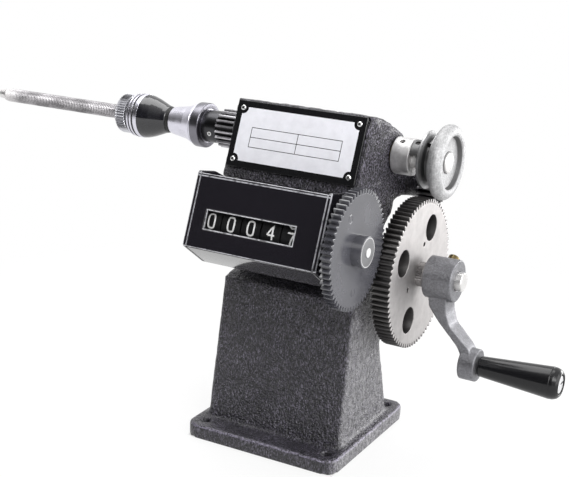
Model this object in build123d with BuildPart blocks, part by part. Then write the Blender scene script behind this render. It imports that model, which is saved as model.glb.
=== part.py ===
"""Hand crank coil winding machine: pedestal, 8:1 gear train, mandrel with cones, turns counter.

Millimetres.  X runs along the spindle towards the crank, -Y is the front with the counter,
Z is up.  The origin is the centre of the underside of the base flange.
"""
import os
from math import acos, atan2, cos, degrees, hypot, pi, radians, sin, tan

from build123d import *

os.makedirs("parts", exist_ok=True)

# ---------------------------------------------------------------- driving dimensions
MODULE = 1.25                  # module of the large gears
BACKLASH = 0.16                # thinning of each tooth pair at the pitch circle
RUN = 0.05                     # radial clearance of a running fit
SLIP = 0.10                    # radial clearance of a part that is slid on and screwed down
GAP = 0.3                      # space kept between curved faces of different moving bodies

BASE_W = 115.0                 # base flange, square
BASE_D = 115.0
BASE_T = 10.0
BASE_R = 9.0
HOLE_PITCH = 94.0              # four fixing holes on a square
HOLE_R = 3.5

HALF_W = 50.0                  # half width of the column head, side face to side face
FOOT_X = HALF_W + 1.5          # half width of the column where it meets the flange
FOOT_FRONT = -38.0
FOOT_REAR = 38.0
LEDGE_Z = 108.0                # top of the column, under the counter
LEDGE_FRONT = -23.0
LEDGE_REAR = 10.0
WALL = 7.0                     # wall of the hollow column
CHEEK = 13.0                   # thickness of the two side cheeks behind the head

TILT = 21.2                    # nameplate and counter lean back by this angle
CRANK_Y = 31.0
CRANK_Z = 118.8
SPINDLE_Y = 28.4
SPINDLE_Z = 198.7

CRANK_TEETH = 80
COUNTER_TEETH = 60
PINION_TEETH = 20
LAY_TEETH = 40
TOOTH_PHASE = 1.2              # turns the whole train a little so a tooth shows as in use

GEAR_X = HALF_W + 10.0         # left face of the large gear
GEAR_W = 12.5
COUNTER_GEAR_Y = -49.2
COUNTER_GEAR_X = HALF_W + 6.0
COUNTER_GEAR_W = 6.8
COUNTER_HUB_R = 10.2
COUNTER_HUB_L = 6.8
LAY_GEAR_W = 8.0
LAY_GEAR_X = -HALF_W - 8.0 - LAY_GEAR_W

CRANK_SHAFT_R = 6.5
LAY_SHAFT_R = 5.0
SPINDLE_R = 7.0
ROD_R = 5.2                    # crests of the mandrel thread
BUSH_T = 2.0

CONE_BIG_R = 16.0
CONE_SMALL_R = 9.8
SPINDLE_PINION_W = 31.0
SPINDLE_PINION_X = -HALF_W - 3.0 - SPINDLE_PINION_W
INNER_CONE_L = 30.0
INNER_HUB_L = 12.5
INNER_HUB_R = 11.5
INNER_CONE_X = SPINDLE_PINION_X - 0.5 - INNER_HUB_L - INNER_CONE_L
OUTER_CONE_L = 30.4
OUTER_CONE_X = INNER_CONE_X - 2.6 - OUTER_CONE_L
NUT_L = 11.6
NUT_R = 14.3
NUT_X = OUTER_CONE_X - 0.4 - NUT_L
ROD_FREE = 114.0               # threaded rod beyond the nut
ROD_END_X = NUT_X - ROD_FREE
ROD_TIP_X = ROD_END_X - 5.5

COLLAR_X = HALF_W + 1.0
COLLAR_L = 13.0
COLLAR_R = 12.4
JAW_L = 6.0
PULLEY_X = COLLAR_X + COLLAR_L + JAW_L + 2.5
PULLEY_W = 9.5
PULLEY_R = 19.2
GROOVE_R = 14.6
WHEEL_W = 9.0
WHEEL_R = 25.0
RECESS_R = 17.6
RECESS_DEPTH = 4.0

HUB_X = GEAR_X + GEAR_W + 7.0
HUB_L = 20.5
HUB_R = 14.5
CRANK_R = 56.0                 # crank axis to grip axis
BOSS_X = HUB_X + 28.5
GRIP_X = BOSS_X + 12.4
GRIP_L = 50.6
GRIP_SMALL_R = 7.0
GRIP_BIG_R = 10.9
GRIP_END = 6.0
PIN_R = 3.2
BOSS_R = 11.2

COUNTER_X0 = -HALF_W + 2.9     # left and right outside faces of the counter
COUNTER_X1 = HALF_W - 0.5
COUNTER_TOP = (-61.9, 189.8)   # front top edge, seen from the side (y, z)
COUNTER_BOTTOM = (-79.3, 144.9)
COUNTER_CHIN = (-55.8, 128.0)
COUNTER_REAR_Y = -7.0
COUNTER_FLOOR_Z = 118.0
CASE_T = 2.0
SIDE_T = 2.5
NECK_FRONT_Y = -4.0

DRUM_R = 19.0
DRUM_PITCH = 14.5
DRUM_MID_X = -3.9
DRUM_W = 13.4
COUNTER_SHAFT_R = 3.0
FINE_MODULE = 0.5              # gears inside the counter
INPUT_TEETH = 18
IDLER_BIG_TEETH = 30
IDLER_SMALL_TEETH = 24
UNITS_TEETH = 24

LEVER_Y = -22.0
LEVER_Z = 152.5
LEVER_X = COUNTER_X0 - 9.4
LEVER_T = 2.6
LEVER_L = 42.0

PLATE_W = 2 * HALF_W - 5.0
PLATE_H = 44.6
PLATE_T = 2.5
PLATE_Y = -20.5
PLATE_Z = 208.8

# ---------------------------------------------------------------- derived positions
SIN_T = sin(radians(TILT))
COS_T = cos(radians(TILT))


def crossing(y0, z0, r0, y1, z1, r1):
    """Rear crossing point of two circles about (y0, z0) and (y1, z1)."""
    d = hypot(y1 - y0, z1 - z0)
    a = (r0 * r0 - r1 * r1 + d * d) / (2 * d)
    h = (r0 * r0 - a * a) ** 0.5
    ey, ez = (y1 - y0) / d, (z1 - z0) / d
    return y0 + a * ey + h * ez, z0 + a * ez - h * ey


COUNTER_C = (CRANK_TEETH + COUNTER_TEETH) * MODULE / 2
COUNTER_GEAR_Z = CRANK_Z + (COUNTER_C**2 - (CRANK_Y - COUNTER_GEAR_Y) ** 2) ** 0.5
LAY_Y, LAY_Z = crossing(
    CRANK_Y, CRANK_Z, (CRANK_TEETH + PINION_TEETH) * MODULE / 2,
    SPINDLE_Y, SPINDLE_Z, (LAY_TEETH + PINION_TEETH) * MODULE / 2,
)
IDLER_C = (INPUT_TEETH + IDLER_BIG_TEETH) * FINE_MODULE / 2
IDLER_Y = COUNTER_GEAR_Y + IDLER_C * COS_T
IDLER_Z = COUNTER_GEAR_Z - IDLER_C * SIN_T
GRIP_Z = CRANK_Z - CRANK_R
CASE_X0 = COUNTER_X0 + SIDE_T
CASE_X1 = COUNTER_X1 - SIDE_T
WHEEL_X = PULLEY_X + PULLEY_W
WHEEL_END = WHEEL_X + WHEEL_W
FAR = 500.0                    # cutters that run right through reach this far


# ---------------------------------------------------------------- helpers
def tooth_outline(teeth, module, phase, thin):
    """Corner points of an involute spur gear; phase is the angle of one tooth centre."""
    r = teeth * module / 2
    base = r * cos(radians(20))
    root, tip = r - 1.25 * module, r + module
    half = (pi * module / 2 - thin) / (2 * r) + tan(radians(20)) - radians(20)
    low = max(base, root)
    radii = [root] + [low + (tip - low) * k / 3 for k in range(4) if low + (tip - low) * k / 3 > root]
    flank = []
    for rho in radii:
        a = acos(min(1.0, base / rho))
        flank.append((rho, half - (tan(a) - a)))
    points = []
    for n in range(teeth):
        mid = phase + 2 * pi * n / teeth
        points += [(rho * cos(mid - a), rho * sin(mid - a)) for rho, a in flank]
        points += [(rho * cos(mid + a), rho * sin(mid + a)) for rho, a in reversed(flank)]
    return points


def meshed(phase, teeth, y, z, other_teeth, other_y, other_z):
    """Phase that puts the teeth of a second gear into the gaps of the first."""
    way = atan2(other_z - z, other_y - y)
    pitch = 2 * pi / teeth
    offset = (phase - way + pitch / 2) % pitch - pitch / 2
    return way + pi - offset * teeth / other_teeth + pi / other_teeth


def gear(teeth, module, phase, y, z, x0, width, thin=BACKLASH / 2):
    """Toothed disc whose left face is at x0."""
    points = [(y + a, z + b) for a, b in tooth_outline(teeth, module, phase, thin)]
    with BuildSketch(Plane.YZ.offset(x0)) as face:
        with BuildLine():
            Polyline(*points, close=True)
        make_face()
    extrude(face.sketch, amount=width)


def side_profile(points, x0, x1, mode=Mode.ADD):
    """Outline given as (y, z) points, filled from x0 to x1."""
    with BuildSketch(Plane.YZ.offset(x0)) as face:
        with BuildLine():
            Polyline(*points, close=True)
        make_face()
    extrude(face.sketch, amount=x1 - x0, mode=mode)


def bar(x0, x1, y, z, r, mode=Mode.ADD):
    """Round bar along X."""
    with Locations(Location((x0, y, z), (0, 90, 0))):
        Cylinder(r, x1 - x0, align=(Align.CENTER, Align.CENTER, Align.MIN), mode=mode)


def turned(points, y, z, mode=Mode.ADD):
    """Body of revolution about the line (y, z) along X, from (x, radius) points."""
    plane = Plane(origin=(0, y, z), x_dir=(1, 0, 0), z_dir=(0, -1, 0))
    with BuildSketch(plane) as face:
        with BuildLine():
            Polyline(*points, close=True)
        make_face()
    revolve(face.sketch, axis=Axis((0, y, z), (1, 0, 0)), mode=mode)


def peg(x, y, z, angle, r, r0, r1, mode=Mode.ADD):
    """Round peg pointing away from the line (y, z) at an angle from +Y towards +Z."""
    a = radians(angle)
    start = (x, y + r0 * cos(a), z + r0 * sin(a))
    with Locations(Plane(origin=start, x_dir=(1, 0, 0), z_dir=(0, cos(a), sin(a)))):
        Cylinder(r, r1 - r0, align=(Align.CENTER, Align.CENTER, Align.MIN), mode=mode)


def box(x0, x1, y0, y1, z0, z1, mode=Mode.ADD):
    """Block between two corners."""
    with Locations(((x0 + x1) / 2, (y0 + y1) / 2, (z0 + z1) / 2)):
        Box(x1 - x0, y1 - y0, z1 - z0, mode=mode)


def star(y, z, r, depth, count):
    """Points of a serrated round outline."""
    points = []
    for n in range(count):
        a = 2 * pi * n / count
        b = a + pi / count
        points.append((y + r * cos(a), z + r * sin(a)))
        points.append((y + (r - depth) * cos(b), z + (r - depth) * sin(b)))
    return points


def on_plate(s, t, depth=0.0):
    """World (x, y, z) of a point on the nameplate; t runs up the plate, depth goes out."""
    y = PLATE_Y + t * SIN_T - depth * COS_T
    z = PLATE_Z + t * COS_T + depth * SIN_T
    return (s, y, z)


def on_front(t, depth=0.0):
    """(y, z) on the counter front, t up from the drum axis line, depth inwards."""
    d = (COUNTER_TOP[0] - COUNTER_GEAR_Y) * -COS_T + (COUNTER_TOP[1] - COUNTER_GEAR_Z) * SIN_T
    y = COUNTER_GEAR_Y - (d - depth) * COS_T + t * SIN_T
    z = COUNTER_GEAR_Z + (d - depth) * SIN_T + t * COS_T
    return (y, z)


CRANK_PHASE = radians(TOOTH_PHASE)
COUNTER_PHASE = meshed(
    CRANK_PHASE, CRANK_TEETH, CRANK_Y, CRANK_Z, COUNTER_TEETH, COUNTER_GEAR_Y, COUNTER_GEAR_Z
)
PINION_PHASE = meshed(CRANK_PHASE, CRANK_TEETH, CRANK_Y, CRANK_Z, PINION_TEETH, LAY_Y, LAY_Z)
LAY_PHASE = 0.0
SPINDLE_PHASE = meshed(LAY_PHASE, LAY_TEETH, LAY_Y, LAY_Z, PINION_TEETH, SPINDLE_Y, SPINDLE_Z)
INPUT_PHASE = 0.0
IDLER_BIG_PHASE = meshed(
    INPUT_PHASE, INPUT_TEETH, COUNTER_GEAR_Y, COUNTER_GEAR_Z, IDLER_BIG_TEETH, IDLER_Y, IDLER_Z
)
IDLER_SMALL_PHASE = 0.0
UNITS_PHASE = meshed(
    IDLER_SMALL_PHASE, IDLER_SMALL_TEETH, IDLER_Y, IDLER_Z, UNITS_TEETH,
    COUNTER_GEAR_Y, COUNTER_GEAR_Z,
)

# ---------------------------------------------------------------- pedestal casting
PLATE_BACK = [(y, z) for _, y, z in (on_plate(0, -29.6, -PLATE_T), on_plate(0, 23.4, -PLATE_T))]
HEAD = [
    (LEDGE_FRONT, LEDGE_Z - 14),
    (LEDGE_FRONT, LEDGE_Z),
    (LEDGE_FRONT + 10, LEDGE_Z + 2.4),
    (NECK_FRONT_Y, LEDGE_Z + 3.5),
    (NECK_FRONT_Y, PLATE_BACK[0][1] - (NECK_FRONT_Y - PLATE_BACK[0][0]) * SIN_T / COS_T),
    PLATE_BACK[0],
    PLATE_BACK[1],
    (-6.5, 229.6),
    (2.4, 227.2),
    (14.5, 223.3),
    (24.0, 218.4),
    (32.0, 214.6),
    (40.0, 210.6),
    (66.0, 183.0),
    (66.0, 171.0),
    (57.0, 164.6),
    (45.0, 167.0),
    (33.0, 166.5),
    (27.7, 157.2),
    (20.0, 152.4),
    (17.0, 146.0),
    (19.0, 137.0),
    (26.0, 131.0),
    (39.0, 129.5),
    (43.6, 119.0),
    (42.0, 108.0),
    (27.0, 72.0),
    (20.0, 62.0),
    (0.0, 62.0),
]
LAY_BOSS_R = 10.5
CRANK_BOSS_R = 12.6
LAY_BOSS_X = GEAR_X - 0.6
CRANK_BOSS_X = HALF_W + 6.0

with BuildPart() as pedestal_casting:
    with BuildSketch() as flange:
        RectangleRounded(BASE_W, BASE_D, BASE_R)
    extrude(amount=BASE_T)
    chamfer(pedestal_casting.faces().sort_by(Axis.Z)[-1].edges(), 0.8)
    with BuildSketch(Plane.XY.offset(BASE_T)) as foot:
        with Locations((0, (FOOT_FRONT + FOOT_REAR) / 2)):
            RectangleRounded(2 * FOOT_X + 4, FOOT_REAR - FOOT_FRONT + 4, 6)
    with BuildSketch(Plane.XY.offset(BASE_T + 4)) as ankle:
        with Locations((0, (FOOT_FRONT + FOOT_REAR) / 2)):
            RectangleRounded(2 * FOOT_X, FOOT_REAR - FOOT_FRONT, 4)
    loft([foot.sketch, ankle.sketch])
    with BuildSketch(Plane.XY.offset(BASE_T + 4)) as low:
        with Locations((0, (FOOT_FRONT + FOOT_REAR) / 2)):
            RectangleRounded(2 * FOOT_X, FOOT_REAR - FOOT_FRONT, 4)
    with BuildSketch(Plane.XY.offset(LEDGE_Z)) as high:
        with Locations((0, (LEDGE_FRONT + LEDGE_REAR) / 2)):
            RectangleRounded(2 * HALF_W, LEDGE_REAR - LEDGE_FRONT, 2.5)
    loft([low.sketch, high.sketch])
    side_profile(HEAD[1:], -HALF_W, HALF_W)
    for x0, x1 in ((-HALF_W - 6, -HALF_W + CHEEK), (HALF_W - CHEEK, CRANK_BOSS_X)):
        bar(x0, x1, CRANK_Y, CRANK_Z, CRANK_BOSS_R)
    bar(-HALF_W - 5, -HALF_W + CHEEK, LAY_Y, LAY_Z, LAY_BOSS_R)
    bar(HALF_W - CHEEK, LAY_BOSS_X, LAY_Y, LAY_Z, LAY_BOSS_R)
    # hollow under the column
    with BuildSketch(Plane.XY.offset(0)) as well_low:
        with Locations((0, (FOOT_FRONT + FOOT_REAR) / 2)):
            RectangleRounded(2 * (FOOT_X - WALL), FOOT_REAR - FOOT_FRONT - 2 * WALL, 5)
    with BuildSketch(Plane.XY.offset(LEDGE_Z - 10)) as well_high:
        with Locations((0, (LEDGE_FRONT + LEDGE_REAR) / 2)):
            RectangleRounded(2 * (HALF_W - WALL), LEDGE_REAR - LEDGE_FRONT - 2 * WALL + 2, 4)
    loft([well_low.sketch, well_high.sketch], mode=Mode.SUBTRACT)
    # pocket between the two cheeks, open to the rear
    pocket = [
        (NECK_FRONT_Y + 9, LEDGE_Z + 3),
        (NECK_FRONT_Y + 9, 172.0),
        (-6.0, 176.0),
        (3.0, 216.0),
        (22.0, 209.5),
        (90.0, 209.5),
        (90.0, 40.0),
        (28.0, 40.0),
        (11.0, LEDGE_Z + 3),
    ]
    side_profile(pocket, -HALF_W + CHEEK, HALF_W - CHEEK, mode=Mode.SUBTRACT)
    # bores
    bar(-HALF_W - 10, HALF_W + 20, SPINDLE_Y, SPINDLE_Z, SPINDLE_R + BUSH_T, mode=Mode.SUBTRACT)
    bar(-HALF_W - 10, HALF_W + 20, LAY_Y, LAY_Z, LAY_SHAFT_R + BUSH_T, mode=Mode.SUBTRACT)
    bar(-HALF_W - 10, HALF_W + 20, CRANK_Y, CRANK_Z, CRANK_SHAFT_R + BUSH_T, mode=Mode.SUBTRACT)
    # pads that carry the counter
    for x in (-30, 30):
        with Locations(Plane(origin=(x, COUNTER_REAR_Y, 145), z_dir=(0, 1, 0))):
            Cylinder(7, NECK_FRONT_Y - COUNTER_REAR_Y + 1, align=(Align.CENTER, Align.CENTER, Align.MIN))
            Cylinder(2.5, 12, align=(Align.CENTER, Align.CENTER, Align.MIN), mode=Mode.SUBTRACT)
    # fixing holes in the flange and blind holes behind the nameplate
    for x in (-HOLE_PITCH / 2, HOLE_PITCH / 2):
        for y in (-HOLE_PITCH / 2, HOLE_PITCH / 2):
            with Locations((x, y, 0)):
                Cylinder(HOLE_R, 3 * BASE_T, mode=Mode.SUBTRACT)
pedestal_casting.part.label = "pedestal_casting"
export_step(pedestal_casting.part, "parts/pedestal_casting.step")

# ---------------------------------------------------------------- fixed parts
with BuildPart() as nameplate:
    tilted = Plane(origin=on_plate(0, 0, -PLATE_T), x_dir=(1, 0, 0), z_dir=(0, -COS_T, SIN_T))
    with BuildSketch(tilted) as plate_face:
        RectangleRounded(PLATE_W, PLATE_H, 0.8)
    extrude(amount=PLATE_T)
    with BuildSketch(tilted) as plate_holes:
        with GridLocations(85.6, 34.6, 2, 2):
            Circle(1.5)
    extrude(amount=PLATE_T, mode=Mode.SUBTRACT)
nameplate.part.label = "nameplate"
export_step(nameplate.part, "parts/nameplate.step")

with BuildPart() as nameplate_screws:
    tilted = Plane(origin=on_plate(0, 0, 0), x_dir=(1, 0, 0), z_dir=(0, -COS_T, SIN_T))
    with Locations(tilted):
        with GridLocations(85.6, 34.6, 2, 2):
            Cylinder(1.9, 0.9, align=(Align.CENTER, Align.CENTER, Align.MIN))
            Cylinder(1.4, PLATE_T, align=(Align.CENTER, Align.CENTER, Align.MAX))
nameplate_screws.part.label = "nameplate_screws"
export_step(nameplate_screws.part, "parts/nameplate_screws.step")

for name, y, z, shaft_r, x_right, x_left in (
    ("spindle_bushes", SPINDLE_Y, SPINDLE_Z, SPINDLE_R, HALF_W, -HALF_W),
    ("layshaft_bushes", LAY_Y, LAY_Z, LAY_SHAFT_R, LAY_BOSS_X, -HALF_W - 5),
    ("crank_bushes", CRANK_Y, CRANK_Z, CRANK_SHAFT_R, CRANK_BOSS_X, -HALF_W - 6),
):
    with BuildPart() as bushes:
        bar(HALF_W - CHEEK, x_right, y, z, shaft_r + BUSH_T)
        bar(x_left, -HALF_W + CHEEK, y, z, shaft_r + BUSH_T)
        bar(-HALF_W - 20, HALF_W + 20, y, z, shaft_r + RUN, mode=Mode.SUBTRACT)
    bushes.part.label = name
    export_step(bushes.part, "parts/" + name + ".step")

# ---------------------------------------------------------------- counter housing
REAR_TOP_Z = COUNTER_TOP[1] - (COUNTER_REAR_Y - COUNTER_TOP[0]) * SIN_T / COS_T
CASE_OUTLINE = [
    COUNTER_TOP,
    COUNTER_BOTTOM,
    COUNTER_CHIN,
    (-27.0, COUNTER_FLOOR_Z),
    (COUNTER_REAR_Y, COUNTER_FLOOR_Z),
    (COUNTER_REAR_Y, REAR_TOP_Z),
]
WINDOW_X0 = -35.0
WINDOW_X1 = 30.5
WINDOW_H = 13.2
POSTS = ((-26.0, 168.0), (-33.0, 126.0))
CARRY_Y = COUNTER_GEAR_Y + 23.0
CARRY_Z = COUNTER_GEAR_Z + 5.6

with BuildPart() as counter_case:
    with BuildSketch(Plane.YZ.offset(CASE_X0)) as case_face:
        with BuildLine():
            Polyline(*CASE_OUTLINE, close=True)
        make_face()
        offset(amount=-CASE_T, mode=Mode.SUBTRACT, kind=Kind.INTERSECTION)
    extrude(case_face.sketch, amount=CASE_X1 - CASE_X0)
    window = [
        on_front(-WINDOW_H / 2, -1), on_front(-WINDOW_H / 2, 3),
        on_front(WINDOW_H / 2, 3), on_front(WINDOW_H / 2, -1),
    ]
    side_profile(window, WINDOW_X0, WINDOW_X1, mode=Mode.SUBTRACT)
    for x in (-30, 30):
        with Locations(Plane(origin=(x, COUNTER_REAR_Y + 1, 145), z_dir=(0, -1, 0))):
            Cylinder(2.7, 6, mode=Mode.SUBTRACT)
counter_case.part.label = "counter_case"
export_step(counter_case.part, "parts/counter_case.step")

with BuildPart() as counter_bezel:
    frame = [
        on_front(-WINDOW_H / 2, 0.3), on_front(-WINDOW_H / 2, CASE_T),
        on_front(WINDOW_H / 2, CASE_T), on_front(WINDOW_H / 2, 0.3),
    ]
    light = [
        on_front(-WINDOW_H / 2 + 0.7, -1), on_front(-WINDOW_H / 2 + 0.7, 4),
        on_front(WINDOW_H / 2 - 0.7, 4), on_front(WINDOW_H / 2 - 0.7, -1),
    ]
    side_profile(frame, WINDOW_X0, WINDOW_X1)
    side_profile(light, WINDOW_X0 + 0.7, WINDOW_X1 - 0.7, mode=Mode.SUBTRACT)
counter_bezel.part.label = "counter_bezel"
export_step(counter_bezel.part, "parts/counter_bezel.step")

with BuildPart() as counter_mount_screws:
    for x in (-30, 30):
        with Locations(Plane(origin=(x, COUNTER_REAR_Y, 145), z_dir=(0, 1, 0))):
            Cylinder(2.5, 11, align=(Align.CENTER, Align.CENTER, Align.MIN))
            Cylinder(2.5, CASE_T, align=(Align.CENTER, Align.CENTER, Align.MAX))
        with Locations(Plane(origin=(x, COUNTER_REAR_Y - CASE_T, 145), z_dir=(0, -1, 0))):
            Cylinder(4.2, 3, align=(Align.CENTER, Align.CENTER, Align.MIN))
counter_mount_screws.part.label = "counter_mount_screws"
export_step(counter_mount_screws.part, "parts/counter_mount_screws.step")

for name, x0, x1 in (
    ("counter_side_left", COUNTER_X0, CASE_X0),
    ("counter_side_right", CASE_X1, COUNTER_X1),
):
    with BuildPart() as side:
        side_profile(CASE_OUTLINE, x0, x1)
        bar(x0, x1, COUNTER_GEAR_Y, COUNTER_GEAR_Z, COUNTER_SHAFT_R + RUN, mode=Mode.SUBTRACT)
        bar(x0, x1, CARRY_Y, CARRY_Z, 1.5, mode=Mode.SUBTRACT)
        for y, z in POSTS:
            bar(x0, x1, y, z, 1.8, mode=Mode.SUBTRACT)
        if x0 == COUNTER_X0:
            bar(x0, x1, LEVER_Y, LEVER_Z, 2.5 + RUN, mode=Mode.SUBTRACT)
        else:
            bar(x0, x1, IDLER_Y, IDLER_Z, 1.5 + RUN, mode=Mode.SUBTRACT)
    side.part.label = name
    export_step(side.part, "parts/" + name + ".step")

with BuildPart() as counter_posts:
    for y, z in POSTS:
        bar(CASE_X0, CASE_X1, y, z, 3.0)
        bar(CASE_X0, CASE_X1, y, z, 1.8, mode=Mode.SUBTRACT)
counter_posts.part.label = "counter_posts"
export_step(counter_posts.part, "parts/counter_posts.step")

with BuildPart() as counter_screws:
    for x, out in ((COUNTER_X0, -1), (COUNTER_X1, 1)):
        for y, z in POSTS:
            bar(min(x, x + 0.8 * out), max(x, x + 0.8 * out), y, z, 4.4)
            bar(min(x + 0.8 * out, x + 2.6 * out), max(x + 0.8 * out, x + 2.6 * out), y, z, 3.1)
            bar(min(x, x - 9 * out), max(x, x - 9 * out), y, z, 1.8)
            x0, x1 = min(x + 1.8 * out, x + 3 * out), max(x + 1.8 * out, x + 3 * out)
            box(x0, x1, y - 4, y + 4, z - 0.45, z + 0.45, mode=Mode.SUBTRACT)
counter_screws.part.label = "counter_screws"
export_step(counter_screws.part, "parts/counter_screws.step")

DRUM_X = [DRUM_MID_X + DRUM_PITCH * (k - 2) for k in range(5)]
with BuildPart() as carry_axle:
    bar(COUNTER_X0, COUNTER_X1, CARRY_Y, CARRY_Z, 1.5)
carry_axle.part.label = "carry_axle"
export_step(carry_axle.part, "parts/carry_axle.step")

with BuildPart() as carry_pinions:
    for x in DRUM_X[:-1]:
        side_profile(star(CARRY_Y, CARRY_Z, 4.2, 1.2, 8), x + DRUM_PITCH / 2 - 2, x + DRUM_PITCH / 2 + 2)
    bar(COUNTER_X0, COUNTER_X1, CARRY_Y, CARRY_Z, 1.5, mode=Mode.SUBTRACT)
carry_pinions.part.label = "carry_pinions"
export_step(carry_pinions.part, "parts/carry_pinions.step")

# ---------------------------------------------------------------- counter moving parts
SHAFT_END_X = COUNTER_GEAR_X + COUNTER_GEAR_W + COUNTER_HUB_L + 0.6
with BuildPart() as counter_shaft:
    bar(COUNTER_X0 - 6.9, SHAFT_END_X, COUNTER_GEAR_Y, COUNTER_GEAR_Z, COUNTER_SHAFT_R)
counter_shaft.part.label = "counter_shaft"
export_step(counter_shaft.part, "parts/counter_shaft.step")

with BuildPart() as counter_gear:
    y, z = COUNTER_GEAR_Y, COUNTER_GEAR_Z
    gear(COUNTER_TEETH, MODULE, COUNTER_PHASE, y, z, COUNTER_GEAR_X, COUNTER_GEAR_W)
    bar(COUNTER_X1 + 0.4, COUNTER_GEAR_X + COUNTER_GEAR_W + COUNTER_HUB_L, y, z, COUNTER_HUB_R)
    bar(0, FAR, y, z, COUNTER_SHAFT_R, mode=Mode.SUBTRACT)
    for a in (75, 255):
        hub_x = COUNTER_GEAR_X + COUNTER_GEAR_W + COUNTER_HUB_L
        ca, sa = 6.8 * cos(radians(a)), 6.8 * sin(radians(a))
        bar(hub_x - 3, hub_x, y + ca, z + sa, 0.7, mode=Mode.SUBTRACT)
counter_gear.part.label = "counter_gear"
export_step(counter_gear.part, "parts/counter_gear.step")

with BuildPart() as counter_end_cap:
    bar(COUNTER_X0 - 7.5, COUNTER_X0 - 0.4, COUNTER_GEAR_Y, COUNTER_GEAR_Z, 5.6)
    bar(COUNTER_X0 - 6.9, 0, COUNTER_GEAR_Y, COUNTER_GEAR_Z, COUNTER_SHAFT_R, mode=Mode.SUBTRACT)
    box(COUNTER_X0 - 7.9, COUNTER_X0 - 7.1, COUNTER_GEAR_Y - 4, COUNTER_GEAR_Y + 4,
        COUNTER_GEAR_Z - 0.6, COUNTER_GEAR_Z + 0.6, mode=Mode.SUBTRACT)
counter_end_cap.part.label = "counter_end_cap"
export_step(counter_end_cap.part, "parts/counter_end_cap.step")

INPUT_X = CASE_X1 - 5.6
FINE_W = 3.0
UNITS_X = INPUT_X - 4.8
FINE_THIN = 0.06
with BuildPart() as counter_input_pinion:
    gear(INPUT_TEETH, FINE_MODULE, INPUT_PHASE, COUNTER_GEAR_Y, COUNTER_GEAR_Z, INPUT_X, FINE_W, FINE_THIN)
    bar(0, FAR, COUNTER_GEAR_Y, COUNTER_GEAR_Z, COUNTER_SHAFT_R, mode=Mode.SUBTRACT)
counter_input_pinion.part.label = "counter_input_pinion"
export_step(counter_input_pinion.part, "parts/counter_input_pinion.step")

with BuildPart() as counter_idler:
    gear(IDLER_BIG_TEETH, FINE_MODULE, IDLER_BIG_PHASE, IDLER_Y, IDLER_Z, INPUT_X, FINE_W, FINE_THIN)
    gear(IDLER_SMALL_TEETH, FINE_MODULE, IDLER_SMALL_PHASE, IDLER_Y, IDLER_Z, UNITS_X, FINE_W, FINE_THIN)
    bar(UNITS_X, INPUT_X + 0.1, IDLER_Y, IDLER_Z, 3.6)
    bar(UNITS_X - 0.4, COUNTER_X1, IDLER_Y, IDLER_Z, 1.5)
counter_idler.part.label = "counter_idler"
export_step(counter_idler.part, "parts/counter_idler.step")

DRUM_NAMES = ("drum_ten_thousands", "drum_thousands", "drum_hundreds", "drum_tens", "drum_units")
for name, x in zip(DRUM_NAMES, DRUM_X):
    y, z = COUNTER_GEAR_Y, COUNTER_GEAR_Z
    half = DRUM_W / 2
    with BuildPart() as drum:
        if name == "drum_units":
            gear(UNITS_TEETH, FINE_MODULE, UNITS_PHASE, y, z, UNITS_X, FINE_W, FINE_THIN)
            bar(x + half - 1, UNITS_X + 0.1, y, z, 4.6)
        turned(
            [(x - half, 0), (x - half, 6), (x - half + 2, 6), (x - half + 2, 15.5), (x - half, 15.5),
             (x - half, DRUM_R), (x + half, DRUM_R), (x + half, 0)],
            y, z,
        )
        bar(x - 20, x + 20, y, z, COUNTER_SHAFT_R + RUN, mode=Mode.SUBTRACT)
    drum.part.label = name
    export_step(drum.part, "parts/" + name + ".step")

with BuildPart() as reset_lever:
    with BuildSketch(Plane.YZ.offset(LEVER_X)) as lever_face:
        with BuildLine():
            Polyline(
                (LEVER_Y - 1.0, LEVER_Z + 7.4), (LEVER_Y + LEVER_L - 4, LEVER_Z - 1.2),
                (LEVER_Y + LEVER_L - 4, LEVER_Z - 8.4), (LEVER_Y - 2.0, LEVER_Z - 7.2), close=True,
            )
        make_face()
        with Locations((LEVER_Y, LEVER_Z)):
            Circle(7.5)
        with Locations((LEVER_Y + LEVER_L - 4, LEVER_Z - 4.8)):
            Circle(3.6)
    extrude(lever_face.sketch, amount=LEVER_T)
    bar(LEVER_X, LEVER_X + LEVER_T, LEVER_Y, LEVER_Z, 2.5, mode=Mode.SUBTRACT)
reset_lever.part.label = "reset_lever"
export_step(reset_lever.part, "parts/reset_lever.step")

with BuildPart() as reset_lever_wings:
    tip_y, tip_z = LEVER_Y + LEVER_L - 4, LEVER_Z - 4.8
    for side in (-1, 1):
        wing = [
            (tip_y - 1.5, tip_z + side * 1.2), (tip_y + 1.5, tip_z + side * 1.2),
            (tip_y + 5.5, tip_z + side * 7.5), (tip_y + 1.0, tip_z + side * 8.5),
        ]
        side_profile(wing, LEVER_X - 2.2, LEVER_X)
    bar(LEVER_X - 3.0, LEVER_X, tip_y, tip_z, 2.6)
reset_lever_wings.part.label = "reset_lever_wings"
export_step(reset_lever_wings.part, "parts/reset_lever_wings.step")

with BuildPart() as reset_lever_shaft:
    bar(LEVER_X - 0.6, CASE_X0 + 2, LEVER_Y, LEVER_Z, 2.5)
    bar(CASE_X0 + 0.3, CASE_X0 + 2, LEVER_Y, LEVER_Z, 4.0)
    bar(LEVER_X + LEVER_T, COUNTER_X0 - 0.3, LEVER_Y, LEVER_Z, 4.6)
reset_lever_shaft.part.label = "reset_lever_shaft"
export_step(reset_lever_shaft.part, "parts/reset_lever_shaft.step")

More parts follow.
